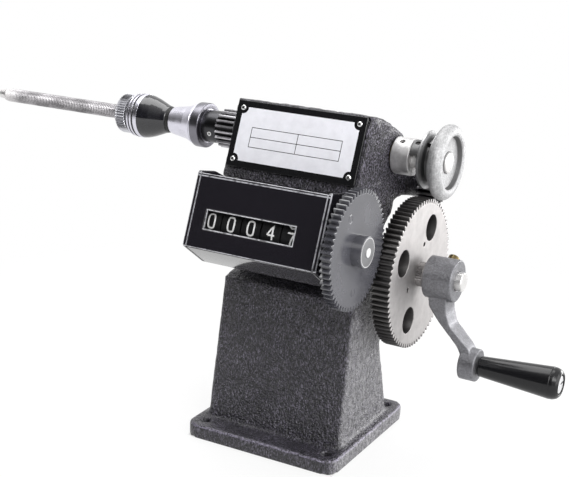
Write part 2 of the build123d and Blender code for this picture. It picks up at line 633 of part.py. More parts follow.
# ---------------------------------------------------------------- spindle
ROD_JOIN_X = INNER_CONE_X
with BuildPart() as spindle_shaft:
    turned(
        [
            (ROD_TIP_X, 0), (ROD_TIP_X, 3.0), (ROD_TIP_X + 0.6, 3.4), (ROD_END_X, 3.4),
            (ROD_END_X + 1.4, ROD_R), (ROD_JOIN_X, ROD_R), (ROD_JOIN_X, 6.0), (SPINDLE_PINION_X, 6.0),
            (SPINDLE_PINION_X, SPINDLE_R), (WHEEL_END - 3.0, SPINDLE_R), (WHEEL_END - 2.4, SPINDLE_R - 0.6),
            (WHEEL_END - 2.4, 0),
        ],
        SPINDLE_Y, SPINDLE_Z,
    )
spindle_shaft.part.label = "spindle_shaft"
export_step(spindle_shaft.part, "parts/spindle_shaft.step")

CONE_RIM_X = INNER_CONE_X + INNER_CONE_L
CONE_SCREW_X = CONE_RIM_X + 7.5
with BuildPart() as inner_cone:
    turned(
        [
            (INNER_CONE_X, 6.0), (INNER_CONE_X, CONE_SMALL_R - 0.8), (INNER_CONE_X + 0.8, CONE_SMALL_R),
            (CONE_RIM_X - 8.4, 14.9), (CONE_RIM_X - 7.8, CONE_BIG_R - 0.3), (CONE_RIM_X - 7.2, CONE_BIG_R),
            (CONE_RIM_X - 0.5, CONE_BIG_R), (CONE_RIM_X, CONE_BIG_R - 0.5), (CONE_RIM_X, INNER_HUB_R),
            (SPINDLE_PINION_X - 0.5, INNER_HUB_R), (SPINDLE_PINION_X - 0.5, 6.0),
        ],
        SPINDLE_Y, SPINDLE_Z,
    )
    peg(CONE_SCREW_X, SPINDLE_Y, SPINDLE_Z, 195, 1.6, 5, 14, mode=Mode.SUBTRACT)
inner_cone.part.label = "inner_cone"
export_step(inner_cone.part, "parts/inner_cone.step")

with BuildPart() as cone_set_screw:
    peg(CONE_SCREW_X, SPINDLE_Y, SPINDLE_Z, 195, 1.6, 6.2, INNER_HUB_R + 0.6)
    peg(CONE_SCREW_X, SPINDLE_Y, SPINDLE_Z, 195, 0.8, INNER_HUB_R - 1, 14, mode=Mode.SUBTRACT)
cone_set_screw.part.label = "cone_set_screw"
export_step(cone_set_screw.part, "parts/cone_set_screw.step")

with BuildPart() as spindle_pinion:
    y, z = SPINDLE_Y, SPINDLE_Z
    gear(PINION_TEETH, MODULE, SPINDLE_PHASE, y, z, SPINDLE_PINION_X, SPINDLE_PINION_W)
    bar(SPINDLE_PINION_X + SPINDLE_PINION_W, -HALF_W - 0.3, y, z, 9.0)
    bar(-FAR, 0, y, z, SPINDLE_R, mode=Mode.SUBTRACT)
spindle_pinion.part.label = "spindle_pinion"
export_step(spindle_pinion.part, "parts/spindle_pinion.step")

COLLAR_END = COLLAR_X + COLLAR_L
with BuildPart() as clutch_collar:
    turned(
        [
            (COLLAR_X, SPINDLE_R), (COLLAR_X, COLLAR_R - 0.6), (COLLAR_X + 0.6, COLLAR_R),
            (COLLAR_END - 0.5, COLLAR_R), (COLLAR_END, COLLAR_R - 0.5), (COLLAR_END, SPINDLE_R),
        ],
        SPINDLE_Y, SPINDLE_Z,
    )
    peg(COLLAR_X + 6, SPINDLE_Y, SPINDLE_Z, 118, 1.9, SPINDLE_R - 1, 16, mode=Mode.SUBTRACT)
clutch_collar.part.label = "clutch_collar"
export_step(clutch_collar.part, "parts/clutch_collar.step")

with BuildPart() as drive_pulley:
    turned(
        [
            (COLLAR_END + 0.4, SPINDLE_R), (COLLAR_END + 0.4, COLLAR_R - 0.4), (PULLEY_X, COLLAR_R - 0.4),
            (PULLEY_X, PULLEY_R - 0.6), (PULLEY_X + 0.6, PULLEY_R), (PULLEY_X + 1.8, PULLEY_R),
            (PULLEY_X + 4.2, GROOVE_R), (PULLEY_X + 5.6, GROOVE_R), (PULLEY_X + 8.4, PULLEY_R + 1.2),
            (PULLEY_X + PULLEY_W, PULLEY_R + 1.2), (PULLEY_X + PULLEY_W, SPINDLE_R),
        ],
        SPINDLE_Y, SPINDLE_Z,
    )
    # the lower half of the hub is cut away as a driving slot
    slot = [
        (SPINDLE_Y - 16, SPINDLE_Z + 4.4), (SPINDLE_Y - 4, SPINDLE_Z + 4.4), (SPINDLE_Y + 2, SPINDLE_Z),
        (SPINDLE_Y + 14, SPINDLE_Z - 6), (SPINDLE_Y + 14, SPINDLE_Z - 16), (SPINDLE_Y - 16, SPINDLE_Z - 16),
    ]
    with BuildPart(mode=Mode.PRIVATE) as cut:
        side_profile(slot, COLLAR_END - 1, COLLAR_END + JAW_L)
    add(cut.part, mode=Mode.SUBTRACT)
    peg(COLLAR_END + 3.4, SPINDLE_Y, SPINDLE_Z, 112, 1.9, SPINDLE_R - 1, 16, mode=Mode.SUBTRACT)
    peg(PULLEY_X + 4.9, SPINDLE_Y, SPINDLE_Z, 128, 1.7, SPINDLE_R - 1, 22, mode=Mode.SUBTRACT)
drive_pulley.part.label = "drive_pulley"
export_step(drive_pulley.part, "parts/drive_pulley.step")

with BuildPart() as collar_set_screws:
    for x, a, r in ((COLLAR_X + 6, 118, COLLAR_R - 1.2), (COLLAR_END + 3.4, 112, COLLAR_R - 1.6)):
        peg(x, SPINDLE_Y, SPINDLE_Z, a, 1.9, SPINDLE_R + 0.2, r)
        peg(x, SPINDLE_Y, SPINDLE_Z, a, 0.9, r - 1.4, r, mode=Mode.SUBTRACT)
collar_set_screws.part.label = "collar_set_screws"
export_step(collar_set_screws.part, "parts/collar_set_screws.step")

with BuildPart() as pulley_set_screw:
    peg(PULLEY_X + 4.9, SPINDLE_Y, SPINDLE_Z, 128, 1.7, SPINDLE_R + 0.2, GROOVE_R - 2)
pulley_set_screw.part.label = "pulley_set_screw"
export_step(pulley_set_screw.part, "parts/pulley_set_screw.step")

with BuildPart() as hand_wheel:
    turned(
        [
            (WHEEL_X, SPINDLE_R), (WHEEL_X, WHEEL_R - 3.6), (WHEEL_X + 0.8, WHEEL_R - 1.8),
            (WHEEL_X + 2.2, WHEEL_R - 0.6), (WHEEL_X + 4.0, WHEEL_R), (WHEEL_X + 5.8, WHEEL_R - 0.2),
            (WHEEL_X + 7.6, WHEEL_R - 1.4), (WHEEL_X + 8.6, WHEEL_R - 3.0), (WHEEL_END, WHEEL_R - 4.4),
            (WHEEL_END, RECESS_R + 0.6), (WHEEL_END - 0.6, RECESS_R), (WHEEL_END - RECESS_DEPTH, RECESS_R - 0.4),
            (WHEEL_END - RECESS_DEPTH, SPINDLE_R),
        ],
        SPINDLE_Y, SPINDLE_Z,
    )
hand_wheel.part.label = "hand_wheel"
export_step(hand_wheel.part, "parts/hand_wheel.step")

with BuildPart() as knurled_nut:
    side_profile(star(SPINDLE_Y, SPINDLE_Z, NUT_R, 0.9, 44), NUT_X + 2.0, NUT_X + 9.4)
    turned(
        [
            (NUT_X, ROD_R), (NUT_X, NUT_R - 2.4), (NUT_X + 2.0, NUT_R - 0.9), (NUT_X + 9.4, NUT_R - 0.9),
            (NUT_X + 9.4, NUT_R - 2.6), (NUT_X + NUT_L, NUT_R - 2.6), (NUT_X + NUT_L, ROD_R),
        ],
        SPINDLE_Y, SPINDLE_Z,
    )
    bar(NUT_X - 5, NUT_X + 20, SPINDLE_Y, SPINDLE_Z, ROD_R + RUN, mode=Mode.SUBTRACT)
knurled_nut.part.label = "knurled_nut"
export_step(knurled_nut.part, "parts/knurled_nut.step")

x = OUTER_CONE_X
with BuildPart() as outer_cone:
    turned(
        [
            (x, ROD_R + RUN), (x, CONE_BIG_R - 1.2), (x + 0.6, CONE_BIG_R - 0.6), (x + 2.2, CONE_BIG_R - 0.4),
            (x + 2.5, CONE_BIG_R - 0.9), (x + 3.2, CONE_BIG_R - 0.9), (x + 3.5, CONE_BIG_R - 0.2),
            (x + 5.4, CONE_BIG_R), (x + 5.7, CONE_BIG_R - 0.5), (x + 6.4, CONE_BIG_R - 0.5),
            (x + 6.7, CONE_BIG_R), (x + 9.0, CONE_BIG_R), (x + 13.0, CONE_BIG_R - 0.6),
            (x + 18.0, CONE_BIG_R - 2.1), (x + 23.0, CONE_BIG_R - 4.1), (x + 27.0, CONE_SMALL_R + 0.5),
            (x + OUTER_CONE_L - 0.5, CONE_SMALL_R - 0.2), (x + OUTER_CONE_L, CONE_SMALL_R - 0.7),
            (x + OUTER_CONE_L, ROD_R + RUN),
        ],
        SPINDLE_Y, SPINDLE_Z,
    )
outer_cone.part.label = "outer_cone"
export_step(outer_cone.part, "parts/outer_cone.step")

with BuildPart() as cone_ring:
    bar(x + OUTER_CONE_L, INNER_CONE_X - 0.2, SPINDLE_Y, SPINDLE_Z, CONE_SMALL_R - 0.6)
    bar(-FAR, 0, SPINDLE_Y, SPINDLE_Z, ROD_R + RUN, mode=Mode.SUBTRACT)
cone_ring.part.label = "cone_ring"
export_step(cone_ring.part, "parts/cone_ring.step")

# ---------------------------------------------------------------- layshaft
with BuildPart() as layshaft:
    bar(LAY_GEAR_X - 3.0, GEAR_X + GEAR_W + 2.0, LAY_Y, LAY_Z, LAY_SHAFT_R)
layshaft.part.label = "layshaft"
export_step(layshaft.part, "parts/layshaft.step")

with BuildPart() as layshaft_pinion:
    gear(PINION_TEETH, MODULE, PINION_PHASE, LAY_Y, LAY_Z, GEAR_X, GEAR_W)
    bar(0, FAR, LAY_Y, LAY_Z, LAY_SHAFT_R, mode=Mode.SUBTRACT)
layshaft_pinion.part.label = "layshaft_pinion"
export_step(layshaft_pinion.part, "parts/layshaft_pinion.step")

with BuildPart() as layshaft_gear:
    gear(LAY_TEETH, MODULE, LAY_PHASE, LAY_Y, LAY_Z, LAY_GEAR_X, LAY_GEAR_W)
    bar(LAY_GEAR_X, -HALF_W - 5.6, LAY_Y, LAY_Z, 9.0)
    bar(-FAR, 0, LAY_Y, LAY_Z, LAY_SHAFT_R, mode=Mode.SUBTRACT)
layshaft_gear.part.label = "layshaft_gear"
export_step(layshaft_gear.part, "parts/layshaft_gear.step")

# ---------------------------------------------------------------- crank
CRANK_LEFT_X = -HALF_W - 7.0
SHAFT_RIGHT_X = HUB_X + HUB_L + 4.4
with BuildPart() as crank_shaft:
    turned(
        [
            (CRANK_LEFT_X, 0), (CRANK_LEFT_X, CRANK_SHAFT_R - 0.5), (CRANK_LEFT_X + 0.5, CRANK_SHAFT_R),
            (SHAFT_RIGHT_X - 0.6, CRANK_SHAFT_R), (SHAFT_RIGHT_X, CRANK_SHAFT_R - 0.6), (SHAFT_RIGHT_X, 0),
        ],
        CRANK_Y, CRANK_Z,
    )
crank_shaft.part.label = "crank_shaft"
export_step(crank_shaft.part, "parts/crank_shaft.step")

with BuildPart() as shaft_collar:
    bar(-HALF_W + CHEEK + 0.4, -HALF_W + CHEEK + 8, CRANK_Y, CRANK_Z, 11.0)
    bar(-FAR, 0, CRANK_Y, CRANK_Z, CRANK_SHAFT_R, mode=Mode.SUBTRACT)
shaft_collar.part.label = "shaft_collar"
export_step(shaft_collar.part, "parts/shaft_collar.step")

WEB_HOLE_R = 9.2
WEB_HOLE_C = 32.6
with BuildPart() as crank_gear:
    gear(CRANK_TEETH, MODULE, CRANK_PHASE, CRANK_Y, CRANK_Z, GEAR_X, GEAR_W)
    bar(CRANK_BOSS_X + 0.6, GEAR_X, CRANK_Y, CRANK_Z, 11.0)
    bar(0, FAR, CRANK_Y, CRANK_Z, CRANK_SHAFT_R, mode=Mode.SUBTRACT)
    for k in range(4):
        a = radians(63 + 90 * k)
        y, z = CRANK_Y + WEB_HOLE_C * cos(a), CRANK_Z + WEB_HOLE_C * sin(a)
        bar(GEAR_X, GEAR_X + GEAR_W, y, z, WEB_HOLE_R, mode=Mode.SUBTRACT)
    for k in range(3):
        a = radians(78 + 120 * k)
        y, z = CRANK_Y + 20.2 * cos(a), CRANK_Z + 20.2 * sin(a)
        bar(GEAR_X, GEAR_X + GEAR_W, y, z, 1.7, mode=Mode.SUBTRACT)
crank_gear.part.label = "crank_gear"
export_step(crank_gear.part, "parts/crank_gear.step")

with BuildPart() as serrated_collar:
    side_profile(star(CRANK_Y, CRANK_Z, 8.4, 0.8, 30), GEAR_X + GEAR_W, HUB_X - 2.6)
    bar(HUB_X - 2.6, HUB_X, CRANK_Y, CRANK_Z, 9.0)
    bar(0, FAR, CRANK_Y, CRANK_Z, CRANK_SHAFT_R, mode=Mode.SUBTRACT)
serrated_collar.part.label = "serrated_collar"
export_step(serrated_collar.part, "parts/serrated_collar.step")

SCREW_X = HUB_X + 10.4
with BuildPart() as crank_arm:
    turned(
        [
            (HUB_X, CRANK_SHAFT_R), (HUB_X, HUB_R - 0.9), (HUB_X + 0.9, HUB_R), (HUB_X + HUB_L - 0.9, HUB_R),
            (HUB_X + HUB_L, HUB_R - 0.9), (HUB_X + HUB_L, CRANK_SHAFT_R),
        ],
        CRANK_Y, CRANK_Z,
    )
    # bent arm seen from the front, then trimmed to its tapered width seen from the side
    with BuildSketch(Plane.XZ.offset(-CRANK_Y)) as bend:
        with BuildLine():
            Polyline(
                (HUB_X + 3.6, CRANK_Z - 11.5), (HUB_X + 4.2, CRANK_Z - 18.0), (HUB_X + 11.5, CRANK_Z - 28.0),
                (BOSS_X - 3.2, GRIP_Z + 13.0), (BOSS_X + 0.6, GRIP_Z + 8.0), (BOSS_X + 7.6, GRIP_Z + 8.0),
                (BOSS_X + 5.6, GRIP_Z + 11.5), (HUB_X + 19.6, CRANK_Z - 30.0), (HUB_X + 16.4, CRANK_Z - 20.0),
                (HUB_X + 16.0, CRANK_Z - 11.5), close=True,
            )
        make_face()
    extrude(bend.sketch, amount=9.6, both=True)
    for side in (-1, 1):
        trim = [
            (CRANK_Y + side * 9.6, CRANK_Z - 10), (CRANK_Y + side * 6.6, GRIP_Z + 12),
            (CRANK_Y + side * 6.6, GRIP_Z), (CRANK_Y + side * 14, GRIP_Z), (CRANK_Y + side * 14, CRANK_Z - 10),
        ]
        side_profile(trim, HUB_X + 1, BOSS_X + 20, mode=Mode.SUBTRACT)
    turned(
        [
            (BOSS_X, 0), (BOSS_X, BOSS_R - 0.8), (BOSS_X + 0.8, BOSS_R), (GRIP_X - 1.6, BOSS_R),
            (GRIP_X - 0.8, BOSS_R - 0.8), (GRIP_X - 0.8, 0),
        ],
        CRANK_Y, GRIP_Z,
    )
    bar(BOSS_X - 5, GRIP_X + 5, CRANK_Y, GRIP_Z, PIN_R, mode=Mode.SUBTRACT)
    bar(HUB_X - 5, HUB_X + HUB_L + 5, CRANK_Y, CRANK_Z, CRANK_SHAFT_R, mode=Mode.SUBTRACT)
    peg(SCREW_X, CRANK_Y, CRANK_Z, 32, 4.0, CRANK_SHAFT_R - 1, 18, mode=Mode.SUBTRACT)
crank_arm.part.label = "crank_arm"
export_step(crank_arm.part, "parts/crank_arm.step")

with BuildPart() as crank_set_screw:
    peg(SCREW_X, CRANK_Y, CRANK_Z, 32, 4.0, CRANK_SHAFT_R + 0.2, HUB_R + 4.6)
    a = radians(32)
    socket_at = (SCREW_X, CRANK_Y + (HUB_R + 4.6) * cos(a), CRANK_Z + (HUB_R + 4.6) * sin(a))
    with BuildSketch(Plane(origin=socket_at, x_dir=(1, 0, 0), z_dir=(0, cos(a), sin(a)))) as socket:
        RegularPolygon(2.3, 6)
    extrude(socket.sketch, amount=-3.4, mode=Mode.SUBTRACT)
crank_set_screw.part.label = "crank_set_screw"
export_step(crank_set_screw.part, "parts/crank_set_screw.step")

GRIP_END_X = GRIP_X + GRIP_L + GRIP_END
with BuildPart() as handle_pin:
    bar(BOSS_X - 1.0, GRIP_END_X - 3.2, CRANK_Y, GRIP_Z, PIN_R)
    bar(GRIP_END_X - 5.0, GRIP_END_X - 2.0, CRANK_Y, GRIP_Z, 6.0)
    box(GRIP_END_X - 3.2, GRIP_END_X, CRANK_Y - 8, CRANK_Y + 8, GRIP_Z - 0.7, GRIP_Z + 0.7, mode=Mode.SUBTRACT)
handle_pin.part.label = "handle_pin"
export_step(handle_pin.part, "parts/handle_pin.step")

with BuildPart() as handle_grip:
    turned(
        [
            (GRIP_X, PIN_R + 0.1), (GRIP_X, GRIP_SMALL_R - 0.8), (GRIP_X + 0.8, GRIP_SMALL_R),
            (GRIP_X + GRIP_L, GRIP_BIG_R), (GRIP_X + GRIP_L + 2.0, GRIP_BIG_R - 0.3),
            (GRIP_X + GRIP_L + 4.4, GRIP_BIG_R - 1.5), (GRIP_END_X - 0.4, GRIP_BIG_R - 3.0),
            (GRIP_END_X, GRIP_BIG_R - 3.8), (GRIP_END_X - 1.0, 6.6), (GRIP_END_X - 5.3, 6.6),
            (GRIP_END_X - 5.3, PIN_R + 0.1),
        ],
        CRANK_Y, GRIP_Z,
    )
    bar(GRIP_X - 5, GRIP_END_X, CRANK_Y, GRIP_Z, PIN_R + 0.08, mode=Mode.SUBTRACT)
handle_grip.part.label = "handle_grip"
export_step(handle_grip.part, "parts/handle_grip.step")
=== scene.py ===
"""Hand crank coil winding machine, dressed over its CAD frame.

The sizes in the tables are millimetres and the meshes are metres.  X runs along the spindle
towards the crank, -Y is the front with the counter, and Z is up.
"""

from functools import partial, reduce
from math import atan2, cos, hypot, pi, radians, sin, tan

import bmesh
import bpy
import numpy as np
from bpy.props import FloatProperty, FloatVectorProperty, IntProperty, PointerProperty
from mathutils import Matrix, Vector
from mathutils.geometry import tessellate_polygon


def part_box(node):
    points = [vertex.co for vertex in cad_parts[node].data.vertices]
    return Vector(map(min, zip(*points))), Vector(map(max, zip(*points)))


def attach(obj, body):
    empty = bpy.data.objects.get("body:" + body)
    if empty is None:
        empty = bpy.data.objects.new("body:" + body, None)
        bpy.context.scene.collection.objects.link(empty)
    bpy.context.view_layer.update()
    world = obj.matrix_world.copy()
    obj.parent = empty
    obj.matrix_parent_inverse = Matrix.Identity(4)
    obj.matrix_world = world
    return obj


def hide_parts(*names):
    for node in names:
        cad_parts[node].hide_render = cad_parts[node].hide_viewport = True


bl_info = {
    "name": "Coil winding machine",
    "version": (1, 0, 0),
    "blender": (4, 5, 0),
    "location": "View3D > Sidebar > Winder",
    "description": "Pedestal, gear train, mandrel and turns counter of a hand coil winder",
    "category": "Object",
}

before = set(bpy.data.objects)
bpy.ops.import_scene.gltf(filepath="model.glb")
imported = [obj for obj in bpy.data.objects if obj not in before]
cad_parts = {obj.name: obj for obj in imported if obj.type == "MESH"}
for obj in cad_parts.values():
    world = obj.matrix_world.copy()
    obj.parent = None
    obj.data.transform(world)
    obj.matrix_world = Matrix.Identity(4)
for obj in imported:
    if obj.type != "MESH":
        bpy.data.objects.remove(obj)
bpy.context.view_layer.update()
MM = 0.001


def ends(node_name):
    """(left, right) of a CAD node along X, in millimetres."""
    low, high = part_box(node_name)
    return low.x / MM, high.x / MM


def axis_of(node_name):
    """(y, z) of the line along X through the middle of a CAD node, in millimetres."""
    low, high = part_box(node_name)
    return (low.y + high.y) / 2 / MM, (low.z + high.z) / 2 / MM


SPINDLE = axis_of("spindle_shaft")
LAYSHAFT = axis_of("layshaft")
CRANK = axis_of("crank_shaft")
COUNTER = axis_of("counter_shaft")
GRIP = axis_of("handle_pin")
TILT = radians(21.2)  # of the nameplate and the counter's front
ACROSS = np.array([1.0, 0.0, 0.0])
UP_SLOPE = np.array([0.0, sin(TILT), cos(TILT)])
OUT_SLOPE = np.array([0.0, -cos(TILT), sin(TILT)])
PLATE_CENTRE = np.array([0.0, -20.5, 208.8])
FRONT_TOP = np.array([0.0, -61.9, 189.8])  # top edge of the counter's front
AXIS_T = (COUNTER[0] - FRONT_TOP[1]) * UP_SLOPE[1] + (COUNTER[1] - FRONT_TOP[2]) * UP_SLOPE[2]
BASE_TOP = 10.0
WHITE = (1.0, 1.0, 1.0, 1.0)
GEAR_BACK, GEAR_FACE = 60.0, 72.5  # of the large gear and its pinion, along X
DRUM_RADIUS, DRUM_STEP = 19.0, 14.5
DRUMS = ("drum_ten_thousands", "drum_thousands", "drum_hundreds", "drum_tens", "drum_units")


# ---------------------------------------------------------------- what a user would change
def length(name, description, mm, least=0.0):
    """A length setting, from its millimetres."""
    return FloatProperty(
        name=name, description=description, default=mm * MM, min=least * MM, unit="LENGTH"
    )


def colour(name, description, default):
    """A colour setting."""
    return FloatVectorProperty(
        name=name, description=description, default=default, subtype="COLOR", size=3, min=0, max=1
    )


class WinderSizes(bpy.types.PropertyGroup):
    """Sizes of the machine's details."""

    module: length("Gear module", "Pitch circle of a large gear over its teeth", 1.25, 0.5)
    thread_pitch: length("Thread pitch", "Step of the mandrel's screw thread", 1.5, 0.5)
    thread_depth: length("Thread depth", "Depth of the mandrel's screw thread", 0.75)
    cast_grain: length("Casting grain", "Height of the lumps in the cast iron skin", 0.42)
    cast_voxel: length("Casting mesh", "Spacing of the casting's mesh", 1.4, 0.5)
    border: length("Plate border", "Width of the black edge of the nameplate", 4.3)
    figure_height: length("Figure height", "Height of the figures on the counter drums", 8.9, 1.0)
    figure_width: length("Figure width", "Width of the figures on the counter drums", 4.5, 1.0)
    knurl_flutes: IntProperty(
        name="Knurl flutes", description="Number of flutes round the mandrel nut", default=44, min=8
    )


class WinderColours(bpy.types.PropertyGroup):
    """Colours of the machine's finishes."""

    casting: colour("Casting", "Crinkled black paint of the pedestal", (0.0245, 0.0225, 0.0295))
    lacquer: colour("Counter", "Gloss black lacquer of the counter", (0.0112, 0.0102, 0.0136))
    moulding: colour("Counter gear", "Grey plastic of the counter gear", (0.056, 0.056, 0.066))
    gear_steel: colour("Gear steel", "Ground face of the large gear", (0.565, 0.545, 0.54))
    aluminium: colour("Aluminium", "Hand wheel and pulley", (0.49, 0.49, 0.495))
    arm: colour("Crank arm", "Cast crank arm", (0.225, 0.225, 0.24))
    rod: colour("Mandrel", "Threaded mandrel", (0.50, 0.485, 0.50))
    grip: colour("Grip", "Black plastic grip", (0.008, 0.008, 0.009))
    plate: colour("Nameplate", "White field of the nameplate", (0.80, 0.80, 0.85))
    figures: colour("Figures", "Figures of the counter", (1.0, 1.0, 1.0))
    floor: colour("Floor", "Studio floor", (0.86, 0.86, 0.86))


# ---------------------------------------------------------------- surfaces, in millimetres
def rounded(points, radius, steps=4):
    """A closed outline with eased corners.

    Each corner becomes the quadratic curve that starts and ends a radius back along its two
    sides and has the corner as its control point.
    """
    p = np.asarray(points, float)
    radius = np.broadcast_to(radius, len(p)).astype(float)
    before, after = np.roll(p, 1, 0) - p, np.roll(p, -1, 0) - p
    lb, la = np.linalg.norm(before, axis=1), np.linalg.norm(after, axis=1)
    cut = np.minimum(radius, 0.45 * np.minimum(lb, la))[:, None]
    start, end = p + before / lb[:, None] * cut, p + after / la[:, None] * cut
    t = np.linspace(0, 1, steps + 1)[None, :, None]
    flat = (1 - t) ** 2 * start[:, None] + 2 * t * (1 - t) * p[:, None] + t**2 * end[:, None]
    flat = flat.reshape(-1, 2)
    return flat[np.linalg.norm(flat - np.roll(flat, 1, 0), axis=1) > 1e-6]


def grid(points, along=False):
    """Quads over a grid of points whose second parameter goes round and joins up."""
    rows, cols = points.shape[:2]
    i, j = np.meshgrid(np.arange(rows if along else rows - 1), np.arange(cols), indexing="ij")
    ii, jj = (i + 1) % rows, (j + 1) % cols
    quads = np.stack([i * cols + j, i * cols + jj, ii * cols + jj, ii * cols + j], -1)
    return points.reshape(-1, 3), [quads.reshape(-1, 4)]


def outward(surface):
    """The same closed surface, with its faces turned so that its volume is positive."""
    points, faces = surface
    volume = 0.0
    for f in faces:
        for k in range(1, f.shape[1] - 1):
            volume += np.sum(points[f[:, 0]] * np.cross(points[f[:, k]], points[f[:, k + 1]]))
    return points, (faces if volume > 0 else [f[:, ::-1] for f in faces])


def lathe(profile, axis, fillet=0.3, segments=96, flutes=None, at=0.0):
    """A closed outline of (x - at, radius) turned about the line along X through axis.

    The point at angle a is (x, axis y + r cos a, axis z + r sin a).  Flutes lower r by their
    depth times a triangle wave of the angle, between two values of x.
    """
    profile = np.array(profile, float) + [at, 0]
    outline = rounded(profile, np.where(profile[:, 1] <= 0, 0, fillet))
    a = np.linspace(0, 2 * pi, segments, endpoint=False)
    x, r = outline[:, :1] + 0 * a, outline[:, 1:] + 0 * a
    if flutes:
        count, depth, x0, x1, least = flutes
        wave = 1 - np.abs((a * count / 2 / pi) % 1 - 0.5) * 2
        r = r - np.where((x >= x0) & (x <= x1) & (r > least), depth * wave, 0)
    return outward(grid(np.stack([x, axis[0] + r * np.cos(a), axis[1] + r * np.sin(a)], -1), True))


def tube(low, high, inner, outer, axis, fillet=0.3, segments=64):
    """A ring with eased edges about the line along X through axis."""
    section = [(low, inner), (low, outer), (high, outer), (high, inner)]
    return lathe(section, axis, fillet, segments)


def sideways(steps):
    """Unit vectors to the left of each step."""
    return np.stack([-steps[:, 1], steps[:, 0]], 1) / np.linalg.norm(steps, axis=1)[:, None]


def oblong(a0, a1, b0, b1):
    """Corners of a rectangle."""
    return [(a0, b0), (a1, b0), (a1, b1), (a0, b1)]


def plate(loops, low, high, edge=0.3, steps=3):
    """A flat piece with quarter-round edges, from low to high along its first axis.

    loops[0] is the outline and the rest are holes, as (a, b) points.  Each loop is carried
    along a row of offsets: edge times (1 - sin t) into the piece, at edge times (1 - cos t)
    from the face, for t from 0 to a right angle, with one more ring on each face so that the
    faces shade flat.  The two faces are filled between the loops.
    """
    t = np.linspace(0, pi / 2, steps + 1)
    inset, rise = edge * (1 - np.sin(t)), edge * (1 - np.cos(t))
    inset = np.concatenate([[edge * 1.3], inset, inset[::-1], [edge * 1.3]])
    level = np.concatenate([[low], low + rise, (high - rise)[::-1], [high]])
    points, faces, face_rings, first, last, count = [], [], [], [], [], 0
    for n, loop in enumerate(loops):
        loop = np.asarray(loop, float)
        area = np.sum(loop[:, 0] * np.roll(loop[:, 1], -1) - np.roll(loop[:, 0], -1) * loop[:, 1])
        loop = loop if (area > 0) == (n == 0) else loop[::-1]
        left = sideways(np.roll(loop, -1, 0) - loop)
        back = np.roll(left, 1, 0)
        mitre = (left + back) / np.maximum(1 + np.sum(left * back, 1), 0.35)[:, None]
        ring = loop[None] + mitre[None] * inset[:, None, None]
        height = np.broadcast_to(level[:, None, None], ring.shape[:2] + (1,))
        p, f = grid(np.concatenate([height, ring], -1))
        points.append(p)
        faces.append(f[0] + count)
        face_rings.append([Vector((a, b, 0)) for a, b in ring[0]])
        first.append(count + np.arange(len(loop)))
        last.append(count + (len(level) - 1) * len(loop) + np.arange(len(loop)))
        count += len(p)
    flat = np.concatenate([[(v.x, v.y) for v in ring] for ring in face_rings])
    fill = np.array(tessellate_polygon(face_rings))
    a, b, c = flat[fill[:, 0]], flat[fill[:, 1]], flat[fill[:, 2]]
    turn = (b[:, 0] - a[:, 0]) * (c[:, 1] - a[:, 1]) - (b[:, 1] - a[:, 1]) * (c[:, 0] - a[:, 0])
    fill = np.where(turn[:, None] > 0, fill, fill[:, ::-1])
    faces += [np.concatenate(last)[fill], np.concatenate(first)[fill[:, ::-1]]]
    return np.concatenate(points), faces


def placed(surface, origin, first=OUT_SLOPE, second=ACROSS, third=UP_SLOPE):
    """A surface whose three axes are laid along three directions from an origin."""
    points, faces = surface
    return np.asarray(origin, float) + points @ np.array([first, second, third], float), faces


def circle(centre, radius, count=48):
    """Points of a circle: centre plus radius times (cos a, sin a)."""
    return arc(centre, radius, np.linspace(0, 2 * pi, count, endpoint=False))


def arc(centre, radius, a):
    """Points at the angles a round a centre."""
    return np.stack([centre[0] + radius * np.cos(a), centre[1] + radius * np.sin(a)], 1)


def polar(centre, radius, degrees):
    """Point at a distance and an angle from a centre."""
    return centre[0] + radius * cos(radians(degrees)), centre[1] + radius * sin(radians(degrees))


def tooth_outline(centre, teeth, module, phase, thin=0.08):
    """Outline of an involute spur gear.

    At radius rho the half angle of a tooth is its half angle at the pitch circle, plus the
    involute of 20 degrees, less the involute of acos(base radius / rho).
    """
    r = teeth * module / 2
    base, root, tip = r * cos(radians(20)), r - 1.25 * module, r + module
    half = (pi * module / 2 - thin) / (2 * r) + tan(radians(20)) - radians(20)
    low = max(base, root)
    rho = low + (tip - low) * np.arange(5) / 4
    rho = np.concatenate([[root], rho[rho > root + 1e-6]])
    a = np.arccos(np.minimum(1.0, base / rho))
    flank = half - (np.tan(a) - a)
    rho, flank = np.concatenate([rho, rho[::-1]]), np.concatenate([-flank, flank[::-1]])
    angle = (phase + 2 * pi * np.arange(teeth) / teeth)[:, None] + flank
    points = np.stack([centre[0] + rho * np.cos(angle), centre[1] + rho * np.sin(angle)], -1)
    return points.reshape(-1, 2)


def meshed(phase, teeth, own, other_teeth, other):
    """Phase that puts the teeth of a second gear into the gaps of the first."""
    way = atan2(other[1] - own[1], other[0] - own[0])
    pitch = 2 * pi / teeth
    offset = (phase - way + pitch / 2) % pitch - pitch / 2
    return way + pi - offset * teeth / other_teeth + pi / other_teeth


CRANK_PHASE = radians(1.2)  # of the teeth, as in the photograph
COUNTER_PHASE = meshed(CRANK_PHASE, 80, CRANK, 60, COUNTER)
PINION_PHASE = meshed(CRANK_PHASE, 80, CRANK, 20, LAYSHAFT)
SPINDLE_PHASE = meshed(0.0, 40, LAYSHAFT, 20, SPINDLE)


